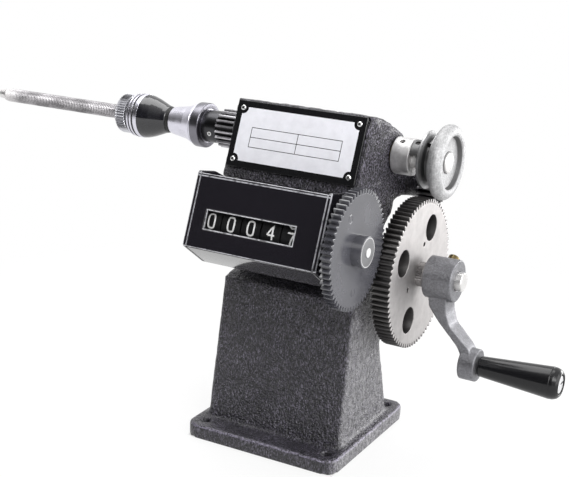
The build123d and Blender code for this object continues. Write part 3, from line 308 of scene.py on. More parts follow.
def lattice_noise(points, size, seed):
    """Smooth noise from 0 to 1 with lumps of a given size.

    Each corner of a cubic lattice has a random value, and a point takes the value that
    its cell's eight corners give it, blended along each side by 3t^2 - 2t^3.
    """
    table = np.random.default_rng(seed).random((64, 64, 64))
    q = points / size + 1000.0
    cell = np.floor(q).astype(int)
    t = q - cell
    t = t * t * (3 - 2 * t)
    total = np.zeros(len(points))
    for corner in range(8):
        step = np.array([corner & 1, corner >> 1 & 1, corner >> 2 & 1])
        index = (cell + step) % 64
        weight = np.prod(np.where(step, t, 1 - t), axis=1)
        total += weight * table[index[:, 0], index[:, 1], index[:, 2]]
    return total


# ---------------------------------------------------------------- finishes
def connect(value, socket):
    """Links an input to another socket, or sets it to a constant."""
    if isinstance(value, bpy.types.NodeSocket):
        socket.id_data.links.new(value, socket)
    else:
        socket.default_value = value


def node(tree, kind, sockets=None, **settings):
    """A shader node, with its inputs either linked or set."""
    made = tree.nodes.new("ShaderNode" + kind)
    for key, value in settings.items():
        setattr(made, key, value)
    for key, value in (sockets or {}).items():
        connect(value, made.inputs[key])
    return made


def maths(operation, a, b=0.0):
    """One sum of a socket's value and a second value."""
    return node(a.id_data, "Math", {0: a, 1: b}, operation=operation).outputs[0]


mul, add, sub = partial(maths, "MULTIPLY"), partial(maths, "ADD"), partial(maths, "SUBTRACT")
larger, size_of = partial(maths, "MAXIMUM"), partial(maths, "ABSOLUTE")


def vector(operation, a, b=(0, 0, 0)):
    """One sum of a socket's vector and a second vector."""
    made = node(a.id_data, "VectorMath", {0: a, 1: b}, operation=operation)
    return made.outputs["Value" if operation in ("LENGTH", "DOT_PRODUCT") else "Vector"]


def part(value, axis):
    """One of the three values of a vector."""
    return node(value.id_data, "SeparateXYZ", {0: value}).outputs[axis]


def mapped(where, **settings):
    """Coordinates that are moved, turned or scaled."""
    return node(where.id_data, "Mapping", {0: where, **settings}).outputs[0]


def noise(where, size, detail=3.0, rough=0.55):
    """Noise with lumps of a size in millimetres."""
    sockets = {"Vector": where, "Scale": 1.0 / MM / size, "Detail": detail, "Roughness": rough}
    return node(where.id_data, "TexNoise", sockets).outputs["Fac"]


def spread(value, low, high, to_low=0.0, to_high=1.0):
    """A value taken from one range to another, and held at the ends."""
    sockets = {0: value, 1: low, 2: high, 3: to_low, 4: to_high}
    return node(value.id_data, "MapRange", sockets).outputs[0]


def spread_mm(value, low, high, to_low=0.0, to_high=1.0):
    """The same for a length, with its range in millimetres."""
    return spread(value, low * MM, high * MM, to_low, to_high)


def between(value, low, high, soft=0.3):
    """1 where a length is from low to high, and fading to 0 outside, in millimetres."""
    return mul(spread_mm(value, low - soft, low), spread_mm(value, high, high + soft, 1.0, 0.0))


def blend(share, a, b):
    """Colour a, turning to colour b as share goes from 0 to 1."""
    a, b = (c if isinstance(c, bpy.types.NodeSocket) else (*c, 1.0) for c in (a, b))
    return node(share.id_data, "Mix", {0: share, 6: a, 7: b}, data_type="RGBA").outputs[2]


def shade(rgb, by):
    """A colour made lighter or darker."""
    return tuple(min(1.0, c * by) for c in rgb)


def finish(name, **fixed):
    """A material with a Principled shader, and its object coordinates."""
    made = bpy.data.materials.new(name)
    made.use_nodes = True
    for key, value in fixed.items():
        shader_of(made).inputs[key.replace("_", " ")].default_value = value
    return made, node(made.node_tree, "TexCoord").outputs["Object"]


def shader_of(material):
    """The Principled shader of a material."""
    return material.node_tree.nodes["Principled BSDF"]


def dress(material, base, roughness, height, distance):
    """Links a colour, a roughness and a relief of height times millimetres to a material."""
    inputs = shader_of(material).inputs
    relief = {"Height": height, "Distance": distance * MM, "Strength": 1.0}
    connect(base, inputs["Base Color"])
    connect(roughness, inputs["Roughness"])
    connect(node(material.node_tree, "Bump", relief).outputs[0], inputs["Normal"])
    return material


def from_axis(where, axis):
    """Distance of a point from a line along X, in metres."""
    moved = mapped(where, Location=(0, -axis[0] * MM, -axis[1] * MM))
    return vector("LENGTH", vector("MULTIPLY", moved, (0, 1, 1)))


def reach(where):
    """The larger of the distances from the middle along X and along Y, in metres."""
    place = vector("ABSOLUTE", where)
    return larger(part(place, "X"), part(place, "Y"))


def crinkle_paint(name, rgb):
    """Black stove enamel over a sand cast skin: lumps of 2 to 3 mm, grains of 1 mm, worn tops.

    The crank side of the head is painted darker as shade, with coarse painted glints; the rest
    has light flecks painted as glints.  The column's crank side is painted grey as the sheen of
    the side light, and the foot's top edge has a broken painted highlight.
    """
    made, where = finish(name, Specular_IOR_Level=0.5, Coat_Weight=0.25, Coat_Roughness=0.2)
    slant = mapped(where, Rotation=(0.3, 0.62, 0.4), Scale=(1.0, 1.0, 0.4))
    lumps, streaks = noise(where, 3.4, 4.0, 0.62), noise(slant, 1.9, 2.0, 0.5)
    cells = node(where.id_data, "TexVoronoi", {"Vector": where, "Scale": 760.0})
    grains = cells.outputs["Distance"]
    height = sub(add(mul(lumps, 0.8), mul(streaks, 0.65)), mul(grains, 0.35))
    z = part(where, "Z")
    base = blend(spread(height, 0.55, 0.95), shade(rgb, 0.4), shade(rgb, 1.6))
    # light flecks painted as glints on the crinkled paint
    painted_glints = spread(noise(slant, 0.85, 2.0, 0.65), 0.49, 0.65)
    patch = spread(noise(where, 16.0), 0.32, 0.65, 0.35, 1.0)
    base = blend(mul(painted_glints, patch), base, shade(rgb, 6.4))
    facing = part(node(where.id_data, "NewGeometry").outputs["Normal"], "X")
    side = spread(facing, 0.55, 0.95)
    # the head's crank side is painted darker as shade, with coarse specks painted as glints
    head = mul(side, spread_mm(z, 125, 150))
    painted_head_glints = spread(noise(where, 1.35, 3.0, 0.7), 0.50, 0.60)
    base = blend(head, base, blend(painted_head_glints, shade(rgb, 0.25), shade(rgb, 7.0)))
    matt = mul(head, spread(painted_head_glints, 0.0, 1.0, 0.5, 0.0))
    # the column's crank side is painted grey as the sheen of the side light
    column_side = mul(side, spread_mm(z, 92, 128, 1.0, 0.0))
    painted_side_sheen = mul(column_side, spread(height, 0.4, 0.9, 0.1, 1.0))
    base = blend(painted_side_sheen, base, (0.31, 0.305, 0.32))
    # a broken painted highlight along the foot's top edge
    edge = spread_mm(size_of(sub(z, (BASE_TOP - 0.9) * MM)), 0.3, 0.9, 1.0, 0.0)
    painted_edge_highlight = mul(edge, spread(noise(where, 3.0, 4.0, 0.7), 0.42, 0.58))
    painted_edge_highlight = mul(painted_edge_highlight, spread_mm(reach(where), 53.0, 54.5))
    rough = add(spread(noise(where, 5.0), 0.3, 0.7, 0.24, 0.4), matt)
    relief = mul(height, spread_mm(z, 8.5, 14.0, 0.5, 1.0))
    return dress(made, blend(painted_edge_highlight, base, shade(rgb, 11.0)), rough, relief, 3.0)


def gloss_lacquer(name, rgb, rough=0.1, coat=1.0):
    """Smooth black lacquer with faint orange peel, smears and a dust of light specks."""
    level, index = 0.4 + 0.5 * coat, 1.9 + 0.8 * coat
    made, where = finish(
        name, Specular_IOR_Level=level, Coat_Weight=coat, Coat_IOR=index, Coat_Roughness=0.05
    )
    cloud = noise(mapped(where, Scale=(1.0, 0.5, 1.6)), 14.0, 5.0, 0.6)
    smear = spread(cloud, 0.35, 0.75, rough, rough + 0.14)
    dust = spread(noise(where, 1.1, 2.0, 0.7), 0.74, 0.82)
    return dress(made, blend(dust, rgb, shade(rgb, 7.0)), smear, noise(where, 3.0, 2.0), 0.012)


def edged_lacquer(name, rgb, edge, xs, ts, coat=0.2, half=0.3):
    """Counter lacquer with light broken lines painted along its sharp front edges: partly worn bare
    edge, partly painted highlight.

    xs are the places of the upright lines and ts those of the level ones, measured up the
    slope from the front's top edge, and half is half a line's width.
    """
    made = gloss_lacquer(name, rgb, 0.12, coat)
    base = shader_of(made).inputs["Base Color"]
    where = node(made.node_tree, "TexCoord").outputs["Object"]
    local = vector("SUBTRACT", where, tuple(FRONT_TOP * MM))
    x = part(where, "X")
    t, out = (vector("DOT_PRODUCT", local, tuple(way)) for way in (UP_SLOPE, OUT_SLOPE))
    lines = [
        spread_mm(size_of(sub(value, place * MM)), half, half + 0.25, 1.0, 0.0)
        for value, places in ((x, xs), (t, ts))
        for place in places
    ]
    broken = spread(noise(where, 4.0, 4.0, 0.7), 0.36, 0.52, 0.25, 1.0)
    # light lines along the edges: painted highlights, partly worn bare edge
    share = mul(mul(reduce(larger, lines), broken), spread_mm(out, -1.1, -0.7))
    connect(blend(share, base.links[0].from_socket, edge), base)
    return made


def moulded_plastic(name, rgb, rough=0.42, level=0.5, discs=()):
    """Moulded plastic: fine matt grain, cloudy sheen, and shallow round ejector marks."""
    made, where = finish(name, Specular_IOR_Level=level)
    height = mul(noise(where, 0.5, 2.0), 0.25)
    for y, z, radius in discs:
        ring = size_of(sub(from_axis(where, (y, z)), radius * MM))
        height = add(height, spread_mm(ring, 0.0, 0.5, -2.2, 0.0))
    cloud = noise(where, 16.0, 4.0)
    base = blend(spread(cloud, 0.3, 0.7), shade(rgb, 0.82), shade(rgb, 1.14))
    return dress(made, base, spread(cloud, 0.3, 0.7, rough - 0.07, rough + 0.09), height, 0.05)


def ripples(length, spacing):
    """A sine wave of a length, with its spacing in millimetres."""
    return maths("SINE", mul(length, 2 * pi / (spacing * MM)))


def worked_metal(name, rgb, rough, stain=0.0, lines=None, depth=0.02, metal=1.0, axis=None):
    """Bare metal with tool marks, cloudy roughness and darker stains.

    lines is the spacing of the turned rings round axis, or of straight marks along X.
    """
    made, where = finish(name, Metallic=metal)
    fine, cloud = noise(where, 0.6, 3.0, 0.65), noise(where, 9.0, 5.0, 0.62)
    height = fine
    if lines:
        along = from_axis(where, axis) if axis else part(where, "X")
        height = add(mul(ripples(along, lines), 0.5), fine)
    spots = mul(spread(cloud, 0.36, 0.66, 1.0, 0.0), 0.25 + stain)
    mixed = add(mul(cloud, 0.7), mul(fine, 0.3))
    sheen = spread(mixed, 0.3, 0.7, rough - 0.07, rough + 0.1)
    return dress(made, blend(spots, rgb, shade(rgb, 0.42)), sheen, height, depth)


def cast_metal(name, rgb, rough, band=None):
    """Sand cast aluminium: specks of 1 mm, clouds of 7 mm and a share of matt skin.

    band is (axis, inner radius, outer radius) of a ring painted dark as shade on a recess wall.
    """
    made, where = finish(name, Metallic=0.75)
    specks, cloud = noise(where, 1.3, 3.0, 0.7), noise(where, 7.0, 4.0, 0.62)
    base = blend(spread(specks, 0.38, 0.62), shade(rgb, 0.74), shade(rgb, 1.15))
    base = blend(spread(cloud, 0.42, 0.62, 0.0, 0.4), base, shade(rgb, 0.6))
    # painted shade on the recess wall between the two radii
    if band:
        axis, inner, outer = band
        base = blend(between(from_axis(where, axis), inner, outer), base, shade(rgb, 0.3))
    sheen = spread(specks, 0.3, 0.7, rough - 0.08, rough + 0.1)
    return dress(made, base, sheen, add(specks, mul(cloud, 1.5)), 0.28)


def geared_steel(name, rgb, axis, back, face):
    """Large steel gear: ground pale faces, dark oiled teeth and hole walls between them."""
    made, where = finish(name, Metallic=1.0)
    cloud = noise(where, 12.0, 5.0, 0.6)
    pale = blend(spread(cloud, 0.35, 0.7), rgb, shade(rgb, 0.8))
    oiled = blend(cloud, shade(rgb, 0.16), shade(rgb, 0.3))
    inside = between(part(where, "X"), back + 0.45, face - 0.45)
    height = add(mul(ripples(from_axis(where, axis), 0.9), 0.4), noise(where, 0.5, 3.0, 0.65))
    base, sheen = blend(inside, pale, oiled), spread(cloud, 0.3, 0.7, 0.42, 0.54)
    return dress(made, base, sheen, height, 0.012)


def threaded_rod(name, rgb):
    """Screw thread: light worn crests, dark roots, brown stains and a pale tip."""
    made, where = finish(name, Metallic=1.0)
    cloud = noise(mapped(where, Scale=(0.45, 1.0, 1.0)), 7.0, 4.0, 0.62)
    root = spread_mm(from_axis(where, SPINDLE), 4.55, 5.0, 1.0, 0.0)
    stained = blend(spread(cloud, 0.4, 0.62), shade(rgb, 1.3), shade(rgb, 0.62))
    skin = blend(mul(root, 0.8), stained, shade(rgb, 0.3))
    base = blend(spread_mm(part(where, "X"), -289.5, -268), (0.85, 0.83, 0.83), skin)
    return dress(made, base, spread(cloud, 0.3, 0.7, 0.36, 0.5), noise(where, 0.7), 0.02)


def toothed(name, rgb, axis, root, left=0.06):
    """Small gear or pulley: bright worn crests, and grooves darkened towards the root circle;
    in the pulley's groove this darkening is painted shade.
    """
    made, where = finish(name, Metallic=1.0)
    cloud = noise(where, 5.0, 4.0, 0.6)
    # darker towards the root circle; in the pulley's groove this is painted shade
    deep = spread_mm(from_axis(where, axis), root + 0.9, root + 2.1, 1.0, 0.0)
    worn = blend(spread(cloud, 0.35, 0.7), rgb, shade(rgb, 0.6))
    base, sheen = blend(deep, worn, shade(rgb, left)), spread(cloud, 0.3, 0.7, 0.36, 0.5)
    return dress(made, base, sheen, noise(where, 0.6), 0.02)


def printed(name, rgb, rough=0.32):
    """Printed or painted flat surface with a faint mottle."""
    made, where = finish(name)
    cloud = noise(where, 6.0, 4.0)
    base = blend(spread(cloud, 0.35, 0.7), rgb, shade(rgb, 0.9))
    sheen = spread(cloud, 0.3, 0.7, rough - 0.05, rough + 0.08)
    return dress(made, base, sheen, noise(where, 0.9, 2.0), 0.01)


FINISHES = {}


def make_finishes(c):
    """One material for each slot of the record, and more for what is printed, worn or dirty,
    and for painted highlights and shade.
    """

    def look(slot, maker, *values, name=None, **more):
        FINISHES[slot] = maker(name or slot, *values, **more)

    metal, plastic = worked_metal, moulded_plastic
    look("black_casting", crinkle_paint, c.casting, name="crinkle_paint")
    look("plate_white", printed, c.plate)
    look("plate_black", printed, (0.008, 0.008, 0.009), 0.22)
    look("figure_white", printed, c.figures, 0.4)
    look("bright_screws", metal, (0.86, 0.86, 0.86), 0.2)
    look("bronze", metal, (0.50, 0.36, 0.19), 0.34, 0.2)
    look("counter_black", gloss_lacquer, c.lacquer, name="counter_lacquer")
    # the light lines on the counter's edges are painted highlights, partly worn bare edge
    sides, levels = (-46.9, -44.5, 46.9, 49.3), (-0.15, -1.75, -47.95)
    look("counter_edged", edged_lacquer, c.lacquer, (0.42, 0.42, 0.45), sides, levels)
    # the light line round the bezel's window is a painted highlight on its edge
    sides, levels = (-34.2, 30.1), (AXIS_T - 6.3, AXIS_T + 6.3)
    bezel_and_highlight_colours = (0.045, 0.045, 0.05), (0.6, 0.6, 0.63)
    look("bezel_grey", edged_lacquer, *bezel_and_highlight_colours, sides, levels, half=0.2)
    look("counter_steel", metal, (0.74, 0.73, 0.71), 0.24, lines=0.5)
    look("carry_white", plastic, (0.72, 0.70, 0.64), 0.4)
    marks = [(*polar(COUNTER, 26.5, turn), 2.6) for turn in (118, 262)]
    look("gear_grey", plastic, c.moulding, 0.22, 1.0, marks)
    look("cap_cream", plastic, (0.76, 0.71, 0.56), 0.35)
    look("drum_black", plastic, (0.012, 0.012, 0.013), 0.35)
    look("lever_chrome", metal, (0.88, 0.88, 0.89), 0.1, depth=0.006)
    look("spindle_steel", metal, (0.77, 0.76, 0.76), 0.42, 0.35, 0.4, 0.03, 0.9)
    look("mandrel", threaded_rod, c.rod)
    look("cone_bright", metal, (0.84, 0.83, 0.92), 0.3, lines=0.5, depth=0.004)
    look("cone_black", gloss_lacquer, (0.010, 0.010, 0.013), 0.1, 0.25)
    look("ring_rubber", plastic, (0.012, 0.012, 0.012), 0.55)
    look("nut_steel", metal, (0.70, 0.70, 0.74), 0.36)
    look("worn_steel", metal, (0.30, 0.29, 0.29), 0.42)
    look("pin_chrome", metal, (0.92, 0.92, 0.93), 0.42, depth=0.01)
    look("shaft_end", metal, (0.85, 0.85, 0.85), 0.5)
    look("cone_rim", metal, (0.25, 0.245, 0.275), 0.3)
    look("washer_grey", plastic, (0.12, 0.12, 0.125), 0.4)
    # washer_rim is a light ring painted as the highlight on the washer's edge
    look("washer_rim", plastic, (0.5, 0.5, 0.5), 0.4)
    look("dark_steel", toothed, (0.62, 0.61, 0.64), SPINDLE, 10.94)
    look("pinion_steel", toothed, (0.5, 0.49, 0.5), LAYSHAFT, 10.94)
    look("black_screws", metal, (0.07, 0.07, 0.075), 0.3)
    # the dark ring on the hand wheel's recess wall is painted shade
    look("cast_aluminium", cast_metal, c.aluminium, 0.6, (SPINDLE, 17.0, 17.55))
    # the dark groove of the pulley is painted shade
    look("pulley_aluminium", toothed, c.aluminium, SPINDLE, 15.6, 0.3)
    look("arm_aluminium", cast_metal, c.arm, 0.4)
    look("gear_steel", geared_steel, c.gear_steel, CRANK, GEAR_BACK, GEAR_FACE)
    look("lay_steel", metal, shade(c.gear_steel, 0.85), 0.36, 0.2, 0.8, axis=LAYSHAFT)
    look("shaft_steel", metal, (0.80, 0.79, 0.78), 0.3, lines=0.4, metal=0.85)
    look("brass_screw", metal, (0.22, 0.17, 0.085), 0.3, 0.3)
    look("grip_black", gloss_lacquer, c.grip, 0.12, 0.0)


def piece(name, body, slot, surfaces, stands_for="", finish_name="", sharp=32.0):
    """Puts surfaces into one mesh in metres, at the origin, riding on a body."""
    points, faces, count = [], [], 0
    for p, fs in surfaces:
        points.append(p)
        faces += [row for f in fs for row in (f + count).tolist()]
        count += len(p)
    mesh = bpy.data.meshes.new(name)
    mesh.from_pydata((np.concatenate(points) * MM).tolist(), [], faces)
    weld(mesh)
    mesh.shade_smooth()
    mesh.set_sharp_from_angle(angle=radians(sharp))
    obj = shown(mesh, finish_name or slot)
    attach(obj, body)
    if stands_for:
        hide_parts(stands_for)
    return obj


def weld(mesh):
    """Joins the points of a mesh that are in one place."""
    bm = bmesh.new()
    bm.from_mesh(mesh)
    bmesh.ops.remove_doubles(bm, verts=bm.verts, dist=1e-6)
    bm.to_mesh(mesh)
    bm.free()


def shown(mesh, look=None):
    """A mesh as an object of the scene, with a finish."""
    if look:
        mesh.materials.append(FINISHES[look])
    obj = bpy.data.objects.new(mesh.name, mesh)
    bpy.context.scene.collection.objects.link(obj)
    return obj


def blended(obj, voxel, smooth_shade=False):
    """Evens out a mesh to a spacing in metres and eases its corners."""
    remesh = obj.modifiers.new("even", "REMESH")
    remesh.mode, remesh.voxel_size, remesh.use_smooth_shade = "VOXEL", voxel, smooth_shade
    smooth = obj.modifiers.new("ease", "SMOOTH")
    smooth.factor, smooth.iterations = 0.5, 2


class Step:
    """Shared settings of the machine's operators."""

    bl_options = {"REGISTER", "UNDO"}

    def execute(self, context):
        if not FINISHES:
            make_finishes(context.scene.winder_colours)
        self.make(context.scene.winder_sizes, context.scene.winder_colours)
        return {"FINISHED"}


# ---------------------------------------------------------------- operators
class WINDER_OT_stage(Step, bpy.types.Operator):
    """Camera at the photograph's angle, pale floor, soft light"""

    bl_idname = "winder.stage"
    bl_label = "Studio and camera"

    def make(self, sizes, colours):
        scene = bpy.context.scene
        scene.view_settings.view_transform = "Standard"
        self.camera(scene)
        self.world(scene)
        self.floor(colours)
        self.lamp("key", (0.75, -0.95, 1.25), (0, 0, 0.14), 0.8, 0.8, 12.0)
        self.lamp("side", (1.35, -0.10, 0.60), (0.02, 0, 0.14), 1.8, 1.1, 12.0)
        self.lamp("rim", (0.75, 1.1, 0.21), (0.04, 0, 0.08), 0.9, 0.36, 7.0)
        self.lamp("top", (-0.35, 0.25, 1.25), (0, 0, 0.15), 1.2, 0.8, 9.0)

    def camera(self, scene):
        """Camera axes from yaw, pitch and roll, with the lens and its shift in picture pixels."""
        yaw, pitch, roll = 0.4960825, 0.3072157, 0.0400524
        picture_width, lens, shift, sensor = 569, 1224.488, (-5.4997, 17.387), 36.0
        back = np.array([sin(yaw) * cos(pitch), -cos(yaw) * cos(pitch), sin(pitch)])
        level = np.array([cos(yaw), sin(yaw), 0.0])
        above = np.cross(back, level)
        right, up = cos(roll) * level + sin(roll) * above, cos(roll) * above - sin(roll) * level
        data = bpy.data.cameras.new("camera")
        data.sensor_width = sensor
        data.lens = lens / picture_width * sensor
        data.shift_x, data.shift_y = shift[0] / picture_width, shift[1] / picture_width
        data.clip_start, data.clip_end = 0.01, 50.0
        camera = bpy.data.objects.new("camera", data)
        turn = Matrix(np.array([right, up, back]).T.tolist()).to_4x4()
        camera.matrix_world = Matrix.Translation((0.3696276, -0.7038231, 0.3777777)) @ turn
        scene.collection.objects.link(camera)
        scene.camera = camera

    def world(self, scene):
        """White to the camera; to all else a pale room that is dark at the front left."""
        world = bpy.data.worlds.new("studio")
        world.use_nodes = True
        tree = world.node_tree
        tree.nodes.clear()
        way = node(tree, "TexCoord").outputs["Generated"]
        room = spread(vector("DOT_PRODUCT", way, (-0.40, -0.86, 0.18)), 0.30, 0.86, 0.95, 0.03)
        rest, seen = (
            node(tree, "Background", {"Color": WHITE, "Strength": level}).outputs[0]
            for level in (room, 1.0)
        )
        ray = node(tree, "LightPath").outputs["Is Camera Ray"]
        mix = node(tree, "MixShader", {0: ray, 1: rest, 2: seen})
        node(tree, "OutputWorld", {"Surface": mix.outputs[0]})
        scene.world = world

    def floor(self, colours):
        """Flat disc that turns to plain white away from the machine.

        It is greyer near the machine in reflections, as a painted shadow round it, and dark under
        the foot.
        """
        radii = np.array([0.0, 0.25, 0.6, 1.2, 2.5, 6.0])[:, None, None]
        flat = circle((0, 0), 1.0, 96)[None] * radii
        level = np.full(flat.shape[:2] + (1,), -0.0002)
        points, faces = grid(np.concatenate([flat, level], -1))
        mesh = bpy.data.meshes.new("floor")
        mesh.from_pydata(points.tolist(), [], faces[0].tolist())
        made, where = finish("floor_paper", Roughness=0.7, Base_Color=(*colours.floor, 1.0))
        tree = made.node_tree
        path = node(tree, "LightPath").outputs
        far = vector("LENGTH", where)
        seen = larger(path["Is Camera Ray"], path["Is Transmission Ray"])
        seen = mul(seen, spread(far, 0.12, 0.45, 0.8, 1.0))
        seen = mul(seen, spread_mm(reach(where), 55.5, 57.0))
        share = larger(seen, path["Is Glossy Ray"])
        # in reflections the glow falls to 0.88 near the machine: a painted shadow round it
        glow = larger(path["Is Camera Ray"], spread(far, 0.18, 0.85, 0.88, 1.0))
        white = node(tree, "Emission", {"Color": WHITE, "Strength": glow}).outputs[0]
        mix = node(tree, "MixShader", {0: share, 1: shader_of(made).outputs[0], 2: white})
        connect(mix.outputs[0], tree.nodes["Material Output"].inputs["Surface"])
        mesh.materials.append(made)
        shown(mesh)

    def lamp(self, name, place, target, width, height, power):
        """Soft rectangular lamp aimed at a point."""
        data = bpy.data.lights.new(name, "AREA")
        data.shape = "RECTANGLE"
        data.size, data.size_y, data.energy = width, height, power
        lamp = bpy.data.objects.new(name, data)
        aim = (Vector(place) - Vector(target)).to_track_quat("Z", "Y")
        lamp.matrix_world = Matrix.Translation(place) @ aim.to_matrix().to_4x4()
        bpy.context.scene.collection.objects.link(lamp)


class WINDER_OT_casting(Step, bpy.types.Operator):
    """Pedestal casting with rounded edges and a lumpy sand cast skin"""

    bl_idname = "winder.casting"
    bl_label = "Pedestal casting"

    def make(self, sizes, colours):
        """The frame's own solid, evenly meshed, with each point moved along its normal.

        The move is the grain height times two sizes of lattice noise, larger on the head, and
        fades out on the underside and the bearing bosses.  No point leaves the solid's box.
        """
        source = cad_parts["pedestal_casting"].data.copy()
        source.name = "casting_solid"
        weld(source)
        solid = shown(source)
        blended(solid, sizes.cast_voxel)
        bpy.context.view_layer.update()
        evaluated = solid.evaluated_get(bpy.context.evaluated_depsgraph_get())
        even = bpy.data.meshes.new_from_object(evaluated)
        bpy.data.objects.remove(solid)
        points, normals = np.zeros(len(even.vertices) * 3), np.zeros(len(even.vertices) * 3)
        even.vertices.foreach_get("co", points)
        even.vertex_normals.foreach_get("vector", normals)
        points, normals = points.reshape(-1, 3) / MM, normals.reshape(-1, 3)
        height = points[:, 2]
        lumps = lattice_noise(points, 3.2, 1) * 0.6 + lattice_noise(points, 7.5, 2) * 0.4
        amount = (lumps - 0.55) * 2 * sizes.cast_grain / MM
        amount *= np.clip((height - 8.0) / 6.0, 0.25, 1)
        amount *= np.clip(height / 1.5, 0, 1) * np.clip((height - 90.0) / 40.0, 1, 2.2)
        for axis, radius in ((SPINDLE, 16.5), (LAYSHAFT, 12.5), (CRANK, 14.5)):
            far = np.hypot(points[:, 1] - axis[0], points[:, 2] - axis[1])
            amount *= np.clip((far - radius) / 2.0, 0, 1)
        low, high = (np.array(corner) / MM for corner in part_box("pedestal_casting"))
        points = np.clip(points + normals * amount[:, None], low, high)
        even.vertices.foreach_set("co", (points * MM).ravel())
        even.update()
        even.name = "casting_skin"
        even.materials.clear()
        even.shade_smooth()
        obj = shown(even, "black_casting")
        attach(obj, "base")
        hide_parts("pedestal_casting")


class WINDER_OT_nameplate(Step, bpy.types.Operator):
    """Nameplate with a black edge, a white field with cut corners, and plain ruled lines"""

    bl_idname = "winder.nameplate"
    bl_label = "Nameplate"

    def make(self, sizes, colours):
        w, h = 47.5, 22.3
        s, t = 42.8, 17.3
        outline = rounded([(w, h), (-w, h), (-w, -h), (w, -h)], 1.2)
        edge = placed(plate([outline], -2.5, -0.05, 0.35), PLATE_CENTRE)
        piece("nameplate_edge", "base", "plate_white", [edge], "nameplate", "plate_black")
        outline = self.field(w - sizes.border / MM, h - sizes.border / MM, s, t)
        field = placed(plate([outline], -0.2, 0.0, 0.02, 1), PLATE_CENTRE)
        piece("nameplate_field", "base", "plate_white", [field])
        left, right, top, low, split, half = -33.2, 33.4, 5.0, -8.1, 1.5, 0.22
        lines = [(left, right, b, b) for b in (top, (top + low) / 2, low)]
        lines += [(left, left, low, top), (split, split, low, top), (right, right, low, top)]
        grown = [oblong(a0 - half, a1 + half, b0 - half, b1 + half) for a0, a1, b0, b1 in lines]
        rules = [placed(plate([line], -0.1, 0.02, 0.01, 1), PLATE_CENTRE) for line in grown]
        piece("nameplate_rules", "base", "plate_white", rules, "", "plate_black")
        head = [(-2.4, 0), (-2.4, 1.35), (0.1, 1.35), (0.1, 1.8), (0.4, 1.7), (0.75, 1.0)]
        dome = lathe([*head, (0.85, 0)], (0, 0), 0.3, 32)
        corners = [(s, t), (-s, t), (-s, -t), (s, -t)]
        heads = [placed(dome, PLATE_CENTRE + a * ACROSS + b * UP_SLOPE) for a, b in corners]
        piece("nameplate_heads", "base", "bright_screws", heads, "nameplate_screws")

    def field(self, x, y, s, t, r=3.9):
        """Outline of the field: a rectangle, less a round pad about each screw."""
        first = atan2(-((r * r - (x - s) ** 2) ** 0.5), x - s)
        last = atan2(y - t, -((r * r - (y - t) ** 2) ** 0.5))
        notch = arc((s, t), r, np.linspace(first, last - 2 * pi if last > first else last, 14))
        flip = notch[::-1]
        return np.concatenate([notch, flip * [-1, 1], notch * [-1, -1], flip * [1, -1]])


class WINDER_OT_counter_box(Step, bpy.types.Operator):
    """Counter housing: front panel with its window, bent cover and two side plates"""

    bl_idname = "winder.counter_box"
    bl_label = "Counter housing"

    def make(self, sizes, colours):
        x0, x1 = ends("counter_case")
        left, right = ends("counter_side_left")[0], ends("counter_side_right")[1]
        top, bottom, chin = FRONT_TOP[1:], np.array([-79.3, 144.9]), np.array([-55.8, 128.0])
        floor, rear, bend, sheet, wall = 118.0, -7.0, -27.0, 1.8, 2.0
        rear_top = top[1] - (rear - top[0]) * tan(TILT)
        outline = rounded(oblong(x0 - 0.1, x1 + 0.1, -hypot(*(bottom - top)), 0), 0.5)
        window = rounded(oblong(-35.0, 30.5, AXIS_T - 6.6, AXIS_T + 6.6), 0.5)
        front = placed(plate([outline, window], -sheet, 0.0, 0.55), FRONT_TOP)
        piece("counter_front", "base", "counter_black", [front], "counter_case", "counter_edged")
        behind = [(rear, rear_top), (rear, floor), (bend, floor), chin]
        outer = [top - OUT_SLOPE[1:] * sheet, *behind, bottom + (chin - bottom) * 0.065]
        ring = np.concatenate([outer, self.inset(np.array(outer), wall)[::-1]])
        cover = plate([rounded(ring, 0.5, 3)], x0, x1, 0.2, 1)
        piece("counter_cover", "base", "counter_black", [cover])
        peak = top + UP_SLOPE[1:] * 1.1
        step = (-44.0, peak[1] - (-44.0 - peak[0]) * 0.215)
        shape = rounded([peak, bottom, *behind[::-1], step], 1.6, 6)
        for side, a, b in (("left", left, x0 - 0.12), ("right", x1 + 0.12, right)):
            cheek = plate([shape, circle(COUNTER, 3.1, 32)], a, b, 0.6, 4)
            names = "counter_cheek_" + side, "base", "counter_black"
            piece(*names, [cheek], "counter_side_" + side, "counter_edged")

    def inset(self, line, wall):
        """An open line that runs clockwise, moved inwards by the wall, with mitred corners."""
        left = sideways(np.diff(line, axis=0))
        before, after = np.vstack([left[:1], left]), np.vstack([left, left[-1:]])
        mitre = (before + after) / (1 + np.sum(before * after, 1))[:, None]
        return line - mitre * wall


